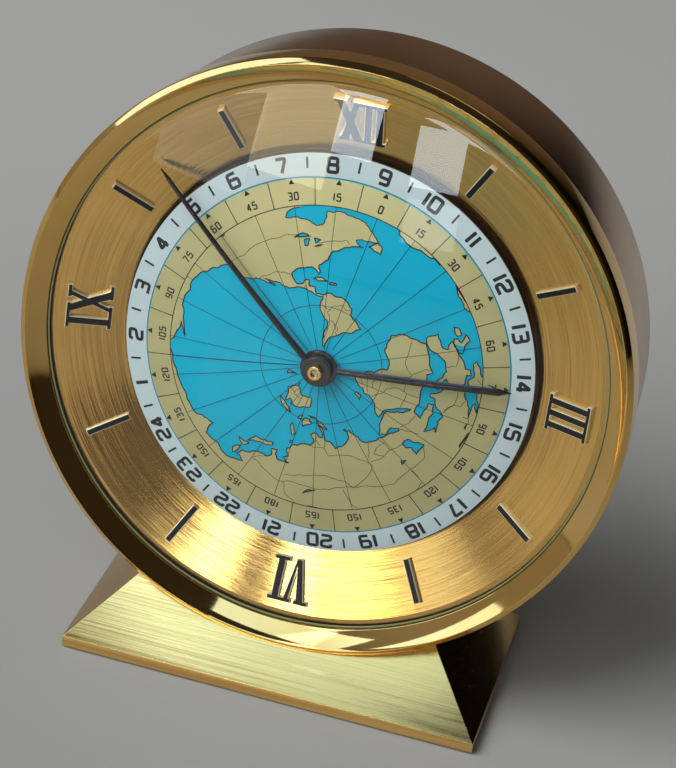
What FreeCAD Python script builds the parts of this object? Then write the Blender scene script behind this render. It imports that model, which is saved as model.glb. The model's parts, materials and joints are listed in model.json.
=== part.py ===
import FreeCAD, Part
import math
import os

# World-time desk clock, in millimetres.
# The clock is modelled in its own frame: x to the right, y up the dial, z out of the
# dial towards the reader, with the origin on the axis, among the marker faces.
# place() then leans it back and sets it in the base's cradle.

V = FreeCAD.Vector

# Base and stance
lean_deg = 8.0
base_width = 82.1
base_depth = 43.0
base_lip = 2.24
base_ridge_depth = 7.0
felt_thickness = 0.8
felt_recess = 0.4
felt_margin = 2.2
bezel_stand = 8.2
bezel_setback = 11.15
cradle_gap = 0.03
base_screw_shank_radius = 1.2
base_screw_head_radius = 2.3
base_screw_head_height = 1.4
base_screw_bite = 3.6
base_screw_swing_deg = 11.0

# Discs on the dial
map_radius = 34.5
map_thickness = 0.4
map_sphere_radius = 170.0
map_edge_stand = 2.42
ring_gap = 0.12
ring_width = 4.2
ring_thickness = 0.4
ring_step = 0.05
ring_drop = 0.6
carrier_gap = 0.35
carrier_thickness = 0.4
carrier_bend_margin = 0.6
carrier_overlap = 2.9

# Dial and markers
dial_thickness = 0.8
dial_drop = 3.02
dish_gap = 0.1
dish_deg = 21.0
dial_rim_width = 2.4
marker_gap = 2.8
marker_length = 8.1
marker_height = 0.85
marker_inlay = 0.12
baton_width = 1.25
dial_margin = 4.28
marker_foot_radius = 0.35
marker_foot_gap = 0.02
marker_foot_inset = 1.6
dial_hole_gap = 0.3

# Crystal, gasket ring, bezel and drum
crystal_thickness = 1.6
crystal_flange = 1.6
crystal_rim_thickness = 1.0
crystal_headroom = 1.0
gasket_width = 1.7
seat_gap = 0.05
spigot_wall = 1.1
spigot_length = 3.2
spigot_rise = 4.12
spigot_gap = 0.05
drum_wall = 2.0
bezel_overhang = 1.4
bezel_lip_overlap = 0.95
bezel_lip_thickness = 0.35
bezel_band_rise = 2.7
bezel_chamfer_width = 1.1
bezel_chamfer_depth = 0.9
bezel_skirt_chamfer = 0.65
bezel_drum_groove = 0.3
shoulder_width = 2.1
shoulder_thickness = 1.5
drum_length = 23.8
rear_flange_width = 5.6
rear_flange_thickness = 2.0
rear_recess = 0.4
rear_cover_thickness = 1.2
rear_edge_chamfer = 0.4
rear_screw_count = 4

# Centre stack: pipes run on each other with this clearance
running_gap = 0.05
centre_arbor_radius = 0.6
pipe_wall = 0.4
hour_hand_gap = 1.0
minute_hand_gap = 0.4
minute_hub_depth = 1.35
hand_thickness = 0.55
hand_curve_radius = 235.0
hour_hand_length = 35.2
minute_hand_length = 45.8
hour_hub_radius = 3.5
minute_hub_radius = 2.8
hour_hand_widths = (1.35, 1.45)
minute_hand_widths = (1.4, 0.9)
hand_point_length = 2.2
hand_tip_width = 0.15
hand_nut_radius = 1.4
hand_nut_height = 1.0
cannon_stand = 0.8

# Hands at rest, clockwise from the twelve
minute_hand_deg = 310.7
hour_hand_deg = 85.7

# Work behind the dial: wheels in five layers
layer_start = 0.3
layer_pitch = 1.0
wheel_thickness = 0.6
plate_headroom = 0.4
minute_wheel_distance = 9.6
minute_wheel_deg = -100.0
idler_distance = 12.6
idler_deg = -51.0
map_arbor_distance = 11.2
map_arbor_deg = 75.0
set_arbor_distance = 19.2
stud_radius = 0.6

# Movement between the plates
plate_radius = 34.0
plate_thickness = 1.5
plate_space = 9.0
end_shake = 0.15
pillar_radius = 2.0
pillar_margin = 4.0
post_radius = 1.8
post_degs = (20.0, 110.0, 200.0, 290.0)
pillar_degs = (45.0, 135.0, 255.0, 330.0)
screw_shank_radius = 0.8
screw_head_radius = 1.7
screw_head_height = 0.9
screw_slot_width = 0.45
screw_length = 4.0
barrel_distance = 18.0
barrel_deg = 200.0
barrel_second_distance = 16.8
second_centre_distance = 10.5
centre_third_distance = 10.08
third_deg = -50.0
third_fourth_distance = 8.16
fourth_deg = 20.0
fourth_escape_distance = 7.7
escape_deg = 80.0
escape_lever_distance = 5.3
lever_balance_distance = 4.8
lever_deg = 105.0
train_arbor_radius = 0.65
pivot_radius = 0.35
fine_arbor_radius = 0.42
staff_radius = 0.49
train_wheel_thickness = 0.5
barrel_wall = 0.9
barrel_tooth_depth = 1.2
barrel_height = 5.6
barrel_clear = 0.5
barrel_arbor_radius = 1.6
barrel_core_radius = 4.0
mainspring_strip = 0.35
mainspring_turn_count = 8
mainspring_clear = 0.35
ratchet_radius = 6.4
ratchet_thickness = 1.0
ratchet_tooth_count = 24
click_distance = 10.4
click_deg = 100.0
click_eye_radius = 1.8
click_width = 1.3
click_lead_deg = 25.0
click_heel_deg = 33.0
click_back_deg = 60.0
escape_radius = 4.0
escape_tooth_count = 15
balance_radius = 6.0
balance_rim_width = 0.9
balance_thickness = 0.8
balance_stand = 0.6
staff_clear = 0.4
roller_radius = 1.4
roller_pin_radius = 0.2
roller_pin_orbit = 0.9
hairspring_strip = 0.12
hairspring_turn_count = 7
hairspring_height = 0.35
hairspring_radius = 3.3
hairspring_collet = 0.15
hairspring_stand = 0.15
hairspring_stud_radius = 0.3
cock_thickness = 1.0
cock_stand = 2.0
cock_width = 5.0
cock_foot_gap = 1.8
cock_foot_length = 5.2
cock_deg = 0.0

# Knobs and key behind the rear cover
knob_radius = 5.2
knob_height = 5.0
knob_flute_count = 24
knob_flute_radius = 0.45
knob_stand = 0.6
control_arbor_radius = 0.7
key_hub_radius = 3.0
key_hub_height = 4.0
key_wing_span = 21.0
key_wing_height = 6.0
key_wing_thickness = 1.8
cover_hole_gap = 0.4

# One overrun serves all cuts
overrun = 1.0

# Tooth counts
cannon_tooth_count = 12
minute_tooth_count = 36
minute_pinion_tooth_count = 12
hour_tooth_count = 48
idler_tooth_count = 48
idler_pinion_tooth_count = 24
day_tooth_count = 48
map_tooth_count = 32
map_pinion_tooth_count = 24
set_pinion_tooth_count = 12
barrel_tooth_count = 72
second_pinion_tooth_count = 12
second_tooth_count = 50
centre_pinion_tooth_count = 10
centre_tooth_count = 64
third_pinion_tooth_count = 8
third_tooth_count = 60
fourth_pinion_tooth_count = 8
fourth_tooth_count = 70
escape_pinion_tooth_count = 7

# Levels between the plates and pivot lengths, as shares of the plates' space and thickness
upper_level_share = 1 / 6
third_level_share = 0.4
escape_level_share = 0.55
fourth_level_share = 0.72
pivot_length_share = 0.8

# Tooth form, as shares of the module or of the pitch angle
addendum_share = 0.8
dedendum_share = 1.05
tip_half_share = 0.1
root_half_share = 0.27
ratchet_root_share = 0.84
ratchet_lean_share = 0.15
escape_root_share = 0.74
escape_lean_share = 0.2

# Lever: pallets as shares of the escape wheel's radius and of the lever's distance from
# it, fork and its slot as shares of the roller pin's radius
pallet_span_share = 0.65
pallet_width_share = 0.2
pallet_reach_share = 0.28
fork_half_share = 4.0
fork_slot_share = 2.0

# Slot depth as a share of a screw's head
screw_slot_share = 1 / 3

# Numeral strokes as shares of the marker length: each stroke is
# (foot left, foot right, top left, top right), each serif is (left, right)
numeral_serif_share = 0.1
numeral_stroke_shares = {
    "xii": [(-0.112, 0.149, -0.571, -0.323), (-0.422, -0.211, -0.149, 0.025),
            (0.112, 0.292, 0.112, 0.292), (0.366, 0.553, 0.366, 0.553)],
    "iii": [(-0.364, -0.195, -0.364, -0.195), (-0.084, 0.084, -0.084, 0.084),
            (0.195, 0.364, 0.195, 0.364)],
    "vi": [(-0.18, -0.037, -0.41, -0.211), (-0.112, -0.037, -0.012, 0.124),
           (0.217, 0.404, 0.217, 0.404)],
    "ix": [(-0.46, -0.28, -0.46, -0.28), (0.236, 0.46, -0.2, 0.012),
           (-0.15, -0.025, 0.273, 0.41)],
}
numeral_top_serif_shares = {
    "xii": [(-0.615, -0.292), (-0.168, 0.615)],
    "iii": [(-0.44, 0.44)],
    "vi": [(-0.485, -0.149), (-0.075, 0.497)],
    "ix": [(-0.547, 0.075), (0.2, 0.51)],
}
numeral_foot_serif_shares = {
    "xii": [(-0.447, -0.174), (-0.124, 0.615)],
    "iii": [(-0.44, 0.44)],
    "vi": [(0.118, 0.497)],
    "ix": [(-0.534, 0.037), (0.186, 0.547)],
}
numeral_angles = {"xii": 0.0, "iii": 90.0, "vi": 180.0, "ix": 270.0}
baton_angles = [30.0, 60.0, 120.0, 150.0, 210.0, 240.0, 300.0, 330.0]

# Radii that follow, and the rise of the base's hips at 45 degrees
base_hip_rise = (base_depth - base_ridge_depth) / 2.0
ring_inner_radius = map_radius + ring_gap
ring_outer_radius = ring_inner_radius + ring_width
marker_inner_radius = ring_outer_radius + marker_gap
marker_outer_radius = marker_inner_radius + marker_length
crystal_radius = marker_outer_radius + dial_margin
dial_radius = crystal_radius
dish_radius = ring_outer_radius + dish_gap
dial_rim_radius = dial_radius - dial_rim_width
dome_radius = crystal_radius - crystal_flange
bore_radius = crystal_radius + seat_gap
spigot_radius = bore_radius + spigot_wall
drum_radius = bore_radius + drum_wall
bezel_radius = drum_radius + bezel_overhang
bezel_rim_radius = bezel_radius - bezel_chamfer_width
bezel_lip_radius = crystal_radius - bezel_lip_overlap
cannon_radius = centre_arbor_radius + running_gap + pipe_wall
hour_pipe_radius = cannon_radius + running_gap + pipe_wall
map_pipe_radius = hour_pipe_radius + running_gap + pipe_wall
day_pipe_radius = map_pipe_radius + running_gap + pipe_wall


# Clock's origin above the floor, and behind the base's front edge
dial_height = bezel_stand + bezel_radius * math.cos(math.radians(lean_deg))
dial_setback = bezel_setback + bezel_radius * math.sin(math.radians(lean_deg))


def sag(radius, sphere_radius):
    """Depth of a spherical cap at a radius."""
    return sphere_radius - math.sqrt(sphere_radius ** 2 - radius ** 2)


# Underside of the base screws' heads, inside the drum
base_screw_seat = bore_radius - seat_gap - sag(base_screw_head_radius, bore_radius)

# Heights that follow, from the dial outwards
dial_front = -dial_drop
dial_back = dial_front - dial_thickness
dish_slope = math.tan(math.radians(dish_deg))
dish_bend = dial_thickness * math.tan(math.radians(dish_deg / 2.0))
dial_rim_front = dial_front + (dial_rim_radius - dish_radius) * dish_slope
dial_rim_back = dial_rim_front - dial_thickness
marker_slant = marker_length / math.cos(math.radians(dish_deg))
marker_sink = -marker_height - dial_thickness / 2.0
marker_foot_front = (dial_front + (marker_inner_radius - dish_radius) * dish_slope
                     + marker_height / math.cos(math.radians(dish_deg)))
map_edge_front = dial_front + map_edge_stand
map_peak = map_edge_front + sag(map_radius, map_sphere_radius)
carrier_peak = map_peak - map_thickness - carrier_gap
hour_hand_back = map_peak + hour_hand_gap
hour_hand_front = hour_hand_back + hand_thickness
minute_hand_back = hour_hand_front + minute_hand_gap
minute_hand_front = minute_hand_back + minute_hub_depth
hand_nut_front = minute_hand_front + hand_nut_height
crystal_back = dial_rim_front
crystal_front = crystal_back + crystal_rim_thickness
crystal_inner_peak = hand_nut_front + crystal_headroom
crystal_outer_peak = crystal_inner_peak + crystal_thickness
bezel_lip_front = crystal_front + bezel_lip_thickness
bezel_rim_front = bezel_lip_front + bezel_band_rise
bezel_edge_front = bezel_rim_front - bezel_chamfer_depth
spigot_front = dial_front + spigot_rise
drum_front = spigot_front - spigot_length - running_gap
bezel_back = drum_front + bezel_drum_groove
drum_back = drum_front - drum_length
rear_cover_back = drum_back + rear_recess
rear_cover_front = rear_cover_back + rear_cover_thickness
rear_flange_front = rear_cover_front + rear_flange_thickness

# Heights that follow, from the dial inwards
layer_fronts = [dial_back - layer_start - layer_pitch * index for index in range(5)]
day_layer, map_layer, idler_layer, hour_layer, minute_layer = layer_fronts
front_plate_front = minute_layer - wheel_thickness - plate_headroom
front_plate_back = front_plate_front - plate_thickness
back_plate_front = front_plate_back - plate_space
back_plate_back = back_plate_front - plate_thickness

# Train levels, each measured from the front plate or the back plate
level = (plate_space - barrel_height) * upper_level_share
centre_wheel_front = front_plate_back - level
second_wheel_front = centre_wheel_front - train_wheel_thickness - level
barrel_back = back_plate_front + barrel_clear
barrel_front = barrel_back + barrel_height
third_wheel_front = front_plate_back - plate_space * third_level_share
escape_wheel_front = front_plate_back - plate_space * escape_level_share
fourth_wheel_front = front_plate_back - plate_space * fourth_level_share
balance_front = back_plate_back - balance_stand
hairspring_front = balance_front - balance_thickness - hairspring_stand
cock_front = back_plate_back - cock_stand
cock_back = cock_front - cock_thickness
pivot_length = plate_thickness * pivot_length_share


def polar(distance, degrees, start=(0.0, 0.0)):
    """Point at a distance and an angle from a start, counter-clockwise from x."""
    turn = math.radians(degrees)
    return (start[0] + distance * math.cos(turn), start[1] + distance * math.sin(turn))


def span(a, b):
    """Distance between two points of the plan."""
    return math.hypot(b[0] - a[0], b[1] - a[1])


def bearing(a, b):
    """Direction in degrees from one point of the plan to another."""
    return math.degrees(math.atan2(b[1] - a[1], b[0] - a[0]))


def third_corner(a, b, from_a, from_b, side):
    """Point at given distances from two others, left (1) or right (-1) of a to b."""
    base = span(a, b)
    along = (from_a ** 2 + base ** 2 - from_b ** 2) / (base + base)
    return polar(from_a, bearing(a, b) + side * math.degrees(math.acos(along / from_a)), a)


# Circle of the posts and the pillars
pillar_circle = plate_radius - pillar_margin

# Arbor places in the plan, seen from the front
centre_at = (0.0, 0.0)
barrel_at = polar(barrel_distance, barrel_deg)
second_at = third_corner(centre_at, barrel_at, second_centre_distance,
                         barrel_second_distance, -1)
third_at = polar(centre_third_distance, third_deg)
fourth_at = polar(third_fourth_distance, fourth_deg, third_at)
escape_at = polar(fourth_escape_distance, escape_deg, fourth_at)
lever_at = polar(escape_lever_distance, lever_deg, escape_at)
balance_at = polar(lever_balance_distance, lever_deg, lever_at)
minute_at = polar(minute_wheel_distance, minute_wheel_deg)
idler_at = polar(idler_distance, idler_deg)
map_arbor_at = polar(map_arbor_distance, map_arbor_deg)
set_arbor_at = polar(set_arbor_distance, minute_wheel_deg)
post_places = [polar(pillar_circle, angle) for angle in post_degs]
pillar_places = [polar(pillar_circle, angle) for angle in pillar_degs]


# Plain forms
def disc(radius, front, back, at=centre_at):
    """Cylinder between two heights."""
    return Part.makeCylinder(radius, front - back, V(at[0], at[1], back))


def ring(outer, inner, front, back, at=centre_at):
    """Tube between two heights."""
    bore = disc(inner, front + overrun, back - overrun, at)
    return disc(outer, front, back, at).cut(bore)


def prism(points, front, back):
    """Flat outline in the plan, given a thickness."""
    corners = [V(x, y, back) for x, y in points]
    face = Part.Face(Part.makePolygon(corners + corners[:1]))
    return face.extrude(V(0, 0, front - back))


def turned(points):
    """Outline of (radius, height) points turned about the axis."""
    corners = [V(r, 0, z) for r, z in points]
    face = Part.Face(Part.makePolygon(corners + corners[:1]))
    return face.revolve(V(0, 0, 0), V(0, 0, 1), 360)


def bowed_edge(inner_radius, outer_radius, peak, sphere_radius):
    """Arc of a spherical section between two radii."""
    middle_radius = (inner_radius + outer_radius) / 2.0
    ends = []
    for r in (inner_radius, middle_radius, outer_radius):
        ends.append(V(r, 0, peak - sag(r, sphere_radius)))
    return Part.Arc(ends[0], ends[1], ends[2]).toShape()


def turned_section(edges):
    """Closed section of edges turned about the axis."""
    face = Part.Face(Part.Wire(edges))
    return face.revolve(V(0, 0, 0), V(0, 0, 1), 360)


def end_of(edge):
    """Outer end of an edge that starts at the axis side."""
    return edge.Vertexes[-1].Point


def start_of(edge):
    """Inner end of an edge that starts at the axis side."""
    return edge.Vertexes[0].Point


def domed_plate(inner_radius, outer_radius, peak, sphere_radius, thickness):
    """Spherical plate of even thickness with a hole on the axis."""
    front = bowed_edge(inner_radius, outer_radius, peak, sphere_radius)
    back = bowed_edge(inner_radius, outer_radius, peak - thickness, sphere_radius)
    rim = Part.LineSegment(end_of(front), end_of(back)).toShape()
    bore = Part.LineSegment(start_of(back), start_of(front)).toShape()
    return turned_section([front, rim, back, bore])


def cut_all(shape, tools):
    """Cut several tools from a shape."""
    for tool in tools:
        shape = shape.cut(tool)
    return shape


def fuse_all(shapes):
    """Fuse several shapes into one solid."""
    return shapes[0].multiFuse(shapes[1:]).removeSplitter()


# Gears
def gear_outline(teeth, pitch_radius, at, phase_deg):
    """Outline of a wheel whose first tooth points along the phase."""
    module = pitch_radius * 2.0 / teeth
    tip = pitch_radius + module * addendum_share
    root = pitch_radius - module * dedendum_share
    step = 360.0 / teeth
    points = []
    for index in range(teeth):
        middle = phase_deg + index * step
        points.append(polar(root, middle - step * root_half_share, at))
        points.append(polar(tip, middle - step * tip_half_share, at))
        points.append(polar(tip, middle + step * tip_half_share, at))
        points.append(polar(root, middle + step * root_half_share, at))
    return points


def gear(teeth, pitch_radius, at, phase_deg, front, thickness, bore):
    """Toothed wheel with a bore, or a solid pinion where the bore is zero."""
    wheel = prism(gear_outline(teeth, pitch_radius, at, phase_deg), front, front - thickness)
    if bore > 0:
        wheel = wheel.cut(disc(bore, front + overrun, front - thickness - overrun, at))
    return wheel


def mating_phase(teeth, phase_deg, at, mate_teeth, mate_at):
    """Phase of a second gear whose gap faces the first gear's tooth."""
    line = bearing(at, mate_at)
    step = 360.0 / teeth
    mate_step = 360.0 / mate_teeth
    past_tooth = ((line - phase_deg) / step) % 1.0
    return line + 180.0 + (past_tooth + 0.5) * mate_step


def pitch_radii(teeth, mate_teeth, distance):
    """Pitch radii of two gears that share a centre distance."""
    first = distance * teeth / (teeth + mate_teeth)
    return first, distance - first


def arbor(at, radius, pivot, front, back):
    """Train arbor between the plates with a pivot in each plate."""
    body = disc(radius, front - end_shake, back + end_shake, at)
    pivots = disc(pivot, front + pivot_length, back - pivot_length, at)
    return body.fuse(pivots)


# Base
def base_outline(inset, height):
    """Rectangle of the base at a height, drawn in by an inset on all sides."""
    x = base_width / 2.0 - inset
    y = base_depth / 2.0 - inset
    corners = [V(-x, -y, height), V(x, -y, height), V(x, y, height), V(-x, y, height)]
    return Part.makePolygon(corners + corners[:1])


def base_screw_shank(extra):
    """Shank at the drum's lowest line, pointing down out of the drum."""
    length = drum_radius + base_screw_bite + extra - base_screw_seat
    return Part.makeCylinder(base_screw_shank_radius + extra, length,
                             V(0, -base_screw_seat, (drum_front + drum_back) / 2.0), V(0, -1, 0))


def base_screw():
    """Screw with its head inside the drum."""
    head = Part.makeCylinder(base_screw_head_radius, base_screw_head_height,
                             V(0, -base_screw_seat, (drum_front + drum_back) / 2.0), V(0, 1, 0))
    return head.fuse(base_screw_shank(0))


def base_screw_pair(make):
    """Both base screws, or both of their holes."""
    pair = []
    for side in (-1, 1):
        shape = make()
        shape.rotate(V(0, 0, 0), V(0, 0, 1), side * base_screw_swing_deg)
        pair.append(shape)
    return pair


def base_screw_holes():
    """Holes for the base screws."""
    return base_screw_pair(lambda: base_screw_shank(cradle_gap))


def base_screws():
    """Two screws through the drum wall into the base."""
    return Part.makeCompound(base_screw_pair(base_screw))


def base_block():
    """Hipped block, milled to the drum and the bezel."""
    foot = felt_thickness - felt_recess
    lip_top = foot + base_lip
    block = Part.makeBox(base_width, base_depth, base_lip,
                         V(-base_width / 2.0, -base_depth / 2.0, foot))
    hips = Part.makeLoft([base_outline(0, lip_top),
                          base_outline(base_hip_rise, lip_top + base_hip_rise)], True, True)
    block = block.fuse(hips)
    pocket = Part.makeBox(base_width - felt_margin * 2.0, base_depth - felt_margin * 2.0,
                          felt_recess, V(felt_margin - base_width / 2.0,
                                         felt_margin - base_depth / 2.0, foot))
    reach = base_depth + drum_length
    cutters = [disc(drum_radius + cradle_gap, drum_front + overrun, drum_back - reach),
               disc(bezel_radius + cradle_gap, reach, bezel_back - bezel_drum_groove)]
    cutters = [place(cutter) for cutter in cutters + base_screw_holes()]
    return cut_all(block.cut(pocket), cutters).removeSplitter()


def base_felt():
    """Felt in the pocket of the underside."""
    margin = felt_margin + cradle_gap
    return Part.makeBox(base_width - margin * 2.0, base_depth - margin * 2.0, felt_thickness,
                        V(margin - base_width / 2.0, margin - base_depth / 2.0, 0))


# Case
def case_drum():
    """Side wall with its front spigot, dial shoulder and rear flange."""
    wall = turned([(bore_radius, spigot_front), (spigot_radius, spigot_front),
                   (spigot_radius, drum_front), (drum_radius, drum_front),
                   (drum_radius, drum_back + rear_edge_chamfer),
                   (drum_radius - rear_edge_chamfer, drum_back),
                   (bore_radius, drum_back), (bore_radius, rear_cover_front),
                   (bore_radius - rear_flange_width, rear_cover_front),
                   (bore_radius - rear_flange_width, rear_flange_front),
                   (bore_radius, rear_flange_front),
                   (bore_radius, dial_back - shoulder_thickness),
                   (bore_radius - shoulder_width, dial_back - shoulder_thickness),
                   (bore_radius - shoulder_width, dial_back),
                   (bore_radius, dial_back)])
    holes = base_screw_holes()
    for at in rear_screw_places():
        holes.append(disc(screw_shank_radius, rear_flange_front + overrun,
                          rear_cover_front - overrun, at))
    return cut_all(wall, holes)


def bezel():
    """Front ring: lip over the crystal, hollow cone band, rim chamfer and skirt."""
    return turned([(bezel_lip_radius, bezel_lip_front), (bezel_rim_radius, bezel_rim_front),
                   (bezel_radius, bezel_edge_front),
                   (bezel_radius, bezel_back + bezel_skirt_chamfer),
                   (bezel_radius - bezel_skirt_chamfer, bezel_back),
                   (spigot_radius + spigot_gap, bezel_back),
                   (spigot_radius + spigot_gap, spigot_front + spigot_gap),
                   (bore_radius, spigot_front + spigot_gap), (bore_radius, crystal_front),
                   (bezel_lip_radius, crystal_front)])


def crystal():
    """Domed crystal with a flat flange."""
    outer_sphere = sphere_through(dome_radius, crystal_outer_peak - crystal_front)
    outer = bowed_edge(0, dome_radius, crystal_outer_peak, outer_sphere)
    inner_sphere = sphere_through(dome_radius, crystal_inner_peak - crystal_back)
    inner = bowed_edge(0, dome_radius, crystal_inner_peak, inner_sphere)
    corners = [end_of(outer), V(crystal_radius, 0, crystal_front),
               V(crystal_radius, 0, crystal_back), end_of(inner)]
    flange = [Part.LineSegment(corners[index], corners[index + 1]).toShape()
              for index in range(3)]
    axis = Part.LineSegment(start_of(inner), start_of(outer)).toShape()
    return turned_section([outer] + flange + [inner, axis])


def sphere_through(radius, rise):
    """Sphere radius of a cap with a given edge radius and rise."""
    return (radius ** 2 + rise ** 2) / (rise * 2.0)


def gasket_ring():
    """Ring that holds the dial's rim off the drum's shoulder."""
    return ring(crystal_radius, crystal_radius - gasket_width, dial_rim_back, dial_back)


def rear_screw_places():
    """Rear cover screws, on the middle of the flange."""
    circle = bore_radius - rear_flange_width / 2.0
    step = 360.0 / rear_screw_count
    return [polar(circle, step * (index + 0.5)) for index in range(rear_screw_count)]


def rear_cover():
    """Rear cover plate with holes for the controls and its screws."""
    cover = disc(bore_radius - seat_gap, rear_cover_front, rear_cover_back)
    front = rear_cover_front + overrun
    back = rear_cover_back - overrun
    holes = [disc(screw_shank_radius, front, back, at) for at in rear_screw_places()]
    for at, radius in ((map_arbor_at, control_arbor_radius), (set_arbor_at, control_arbor_radius),
                       (barrel_at, barrel_arbor_radius)):
        holes.append(disc(radius + cover_hole_gap, front, back, at))
    return cut_all(cover, holes)


def screw(at, seat, head_height, length):
    """Cheese-head screw whose head stands off its seat towards the rear."""
    far = seat - head_height
    head = disc(screw_head_radius, seat, far, at)
    shank = disc(screw_shank_radius, seat + length, seat, at)
    slot_depth = head_height * screw_slot_share
    slot = Part.makeBox(screw_head_radius * 2.0 + overrun, screw_slot_width, slot_depth + overrun,
                        V(at[0] - screw_head_radius - overrun / 2.0,
                          at[1] - screw_slot_width / 2.0, far - overrun))
    return head.fuse(shank).cut(slot)


def rear_screws():
    """Screws that hold the rear cover to the flange."""
    return Part.makeCompound([screw(at, rear_cover_back, rear_recess,
                                    rear_flange_front - rear_cover_back)
                              for at in rear_screw_places()])


# Dial
def spun(shape, angle_deg):
    """Turn a shape clockwise about the axis."""
    shape.rotate(V(0, 0, 0), V(0, 0, 1), -angle_deg)
    return shape


def on_dish(shape, angle_deg):
    """Lay a flat marker shape on the dial's flank: y up the flank, z = 0 at its face."""
    shape.rotate(V(0, 0, 0), V(1, 0, 0), dish_deg)
    shape.translate(V(0, marker_inner_radius, marker_foot_front))
    return spun(shape, angle_deg)


def marker_feet(radius, front, back, angle_deg):
    """Two pins under a marker on its middle line, or the holes for them."""
    pins = [disc(radius, front, back, (0, marker_foot_inset)),
            disc(radius, front, back, (0, marker_slant - marker_foot_inset))]
    return [on_dish(pin, angle_deg) for pin in pins]


def dial_blank():
    """Dial sheet: flat middle, flank that rises outwards, flat rim."""
    return turned([(0, dial_front), (dish_radius, dial_front),
                   (dial_rim_radius, dial_rim_front), (dial_radius, dial_rim_front),
                   (dial_radius, dial_rim_back), (dial_rim_radius + dish_bend, dial_rim_back),
                   (dish_radius + dish_bend, dial_back), (0, dial_back)])


def dial_plate():
    """Dial with its centre hole and the holes for the marker feet."""
    holes = [disc(day_pipe_radius + dial_hole_gap, dial_front + overrun, dial_back - overrun)]
    far = -marker_height - dial_thickness - overrun
    for angle in baton_angles + list(numeral_angles.values()):
        holes += marker_feet(marker_foot_radius + marker_foot_gap, 0, far, angle)
    return cut_all(dial_blank(), holes)


def baton_blank(front, back):
    """One bar, flat, with its foot on the x axis."""
    return Part.makeBox(baton_width, marker_slant, front - back,
                        V(-baton_width / 2.0, 0, back))


def numeral_blank(name, front, back):
    """One Roman numeral, flat, with its foot on the x axis."""
    top = marker_slant
    serif = marker_slant * numeral_serif_share
    pieces = []
    for shares in numeral_stroke_shares[name]:
        foot_left, foot_right, top_left, top_right = [marker_length * s for s in shares]
        pieces.append(prism([(foot_left, 0), (foot_right, 0),
                             (top_right, top), (top_left, top)], front, back))
    for left, right in numeral_top_serif_shares[name]:
        pieces.append(prism([(marker_length * left, top - serif),
                             (marker_length * right, top - serif),
                             (marker_length * right, top), (marker_length * left, top)],
                            front, back))
    for left, right in numeral_foot_serif_shares[name]:
        pieces.append(prism([(marker_length * left, 0), (marker_length * right, 0),
                             (marker_length * right, serif), (marker_length * left, serif)],
                            front, back))
    return fuse_all(pieces)


def seated(blank, angle_deg):
    """Marker body trimmed to the dial's flank, with the two feet that pass through it."""
    body = on_dish(blank, angle_deg).cut(dial_blank())
    feet = marker_feet(marker_foot_radius, -marker_height / 2.0,
                       -marker_height - dial_thickness, angle_deg)
    return body.multiFuse(feet)


def hour_batons():
    """Gilt bodies of the eight bars."""
    return Part.makeCompound([seated(baton_blank(-marker_inlay, marker_sink), angle)
                              for angle in baton_angles])


def roman_numerals():
    """Gilt bodies of the four numerals."""
    return Part.makeCompound([seated(numeral_blank(name, -marker_inlay, marker_sink), angle)
                              for name, angle in numeral_angles.items()])


def baton_faces():
    """Black faces of the bars."""
    return Part.makeCompound([on_dish(baton_blank(0, -marker_inlay), angle)
                              for angle in baton_angles])


def numeral_faces():
    """Black faces of the numerals."""
    return Part.makeCompound([on_dish(numeral_blank(name, 0, -marker_inlay), angle)
                              for name, angle in numeral_angles.items()])


# Discs
def map_disc():
    """Domed map disc on its pipe."""
    return domed_plate(map_pipe_radius, map_radius, map_peak, map_sphere_radius, map_thickness)


def ring_front(radius):
    """Height of the 24-hour ring's face at a radius."""
    share = (radius - ring_inner_radius) / ring_width
    return map_edge_front - ring_step - ring_drop * share


def day_ring():
    """24-hour ring around the map disc."""
    return turned([(ring_inner_radius, ring_front(ring_inner_radius)),
                   (ring_outer_radius, ring_front(ring_outer_radius)),
                   (ring_outer_radius, ring_front(ring_outer_radius) - ring_thickness),
                   (ring_inner_radius, ring_front(ring_inner_radius) - ring_thickness)])


def day_ring_carrier():
    """Dished plate under the map disc that carries the 24-hour ring."""
    bend = map_radius - carrier_bend_margin
    seat_start = ring_inner_radius + ring_gap
    seat_end = ring_inner_radius + carrier_overlap
    front = bowed_edge(day_pipe_radius, bend, carrier_peak, map_sphere_radius)
    back = bowed_edge(day_pipe_radius, bend, carrier_peak - carrier_thickness, map_sphere_radius)
    corners = [end_of(front),
               V(seat_start, 0, ring_front(seat_start) - ring_thickness),
               V(seat_end, 0, ring_front(seat_end) - ring_thickness),
               V(seat_end, 0, ring_front(seat_end) - ring_thickness - carrier_thickness),
               V(seat_start, 0, ring_front(seat_start) - ring_thickness - carrier_thickness),
               end_of(back)]
    band = [Part.LineSegment(corners[index], corners[index + 1]).toShape()
            for index in range(len(corners) - 1)]
    bore = Part.LineSegment(start_of(back), start_of(front)).toShape()
    return turned_section([front] + band + [back, bore])


# Hands
def hand(length, widths, hub_radius, hub_depth, bore, front, angle_deg):
    """Bowed hand: hub disc and a slim blade with a short point."""
    half_root, half_end = [width / 2.0 for width in widths]
    half_tip = hand_tip_width / 2.0
    shoulder = length - hand_point_length
    floor = front - hand_thickness - sag(length, hand_curve_radius) - overrun
    blade = prism([(-half_root, 0), (half_root, 0), (half_end, shoulder), (half_tip, length),
                   (-half_tip, length), (-half_end, shoulder)], front + overrun, floor)
    centre = V(0, 0, front - hand_thickness - hand_curve_radius)
    shell = Part.makeSphere(hand_curve_radius + hand_thickness, centre)
    shell = shell.cut(Part.makeSphere(hand_curve_radius, centre))
    whole = fuse_all([blade.common(shell), disc(hub_radius, front, front - hub_depth)])
    whole = whole.cut(disc(bore, front + overrun, front - hub_depth - overrun))
    return spun(whole, angle_deg)


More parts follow.
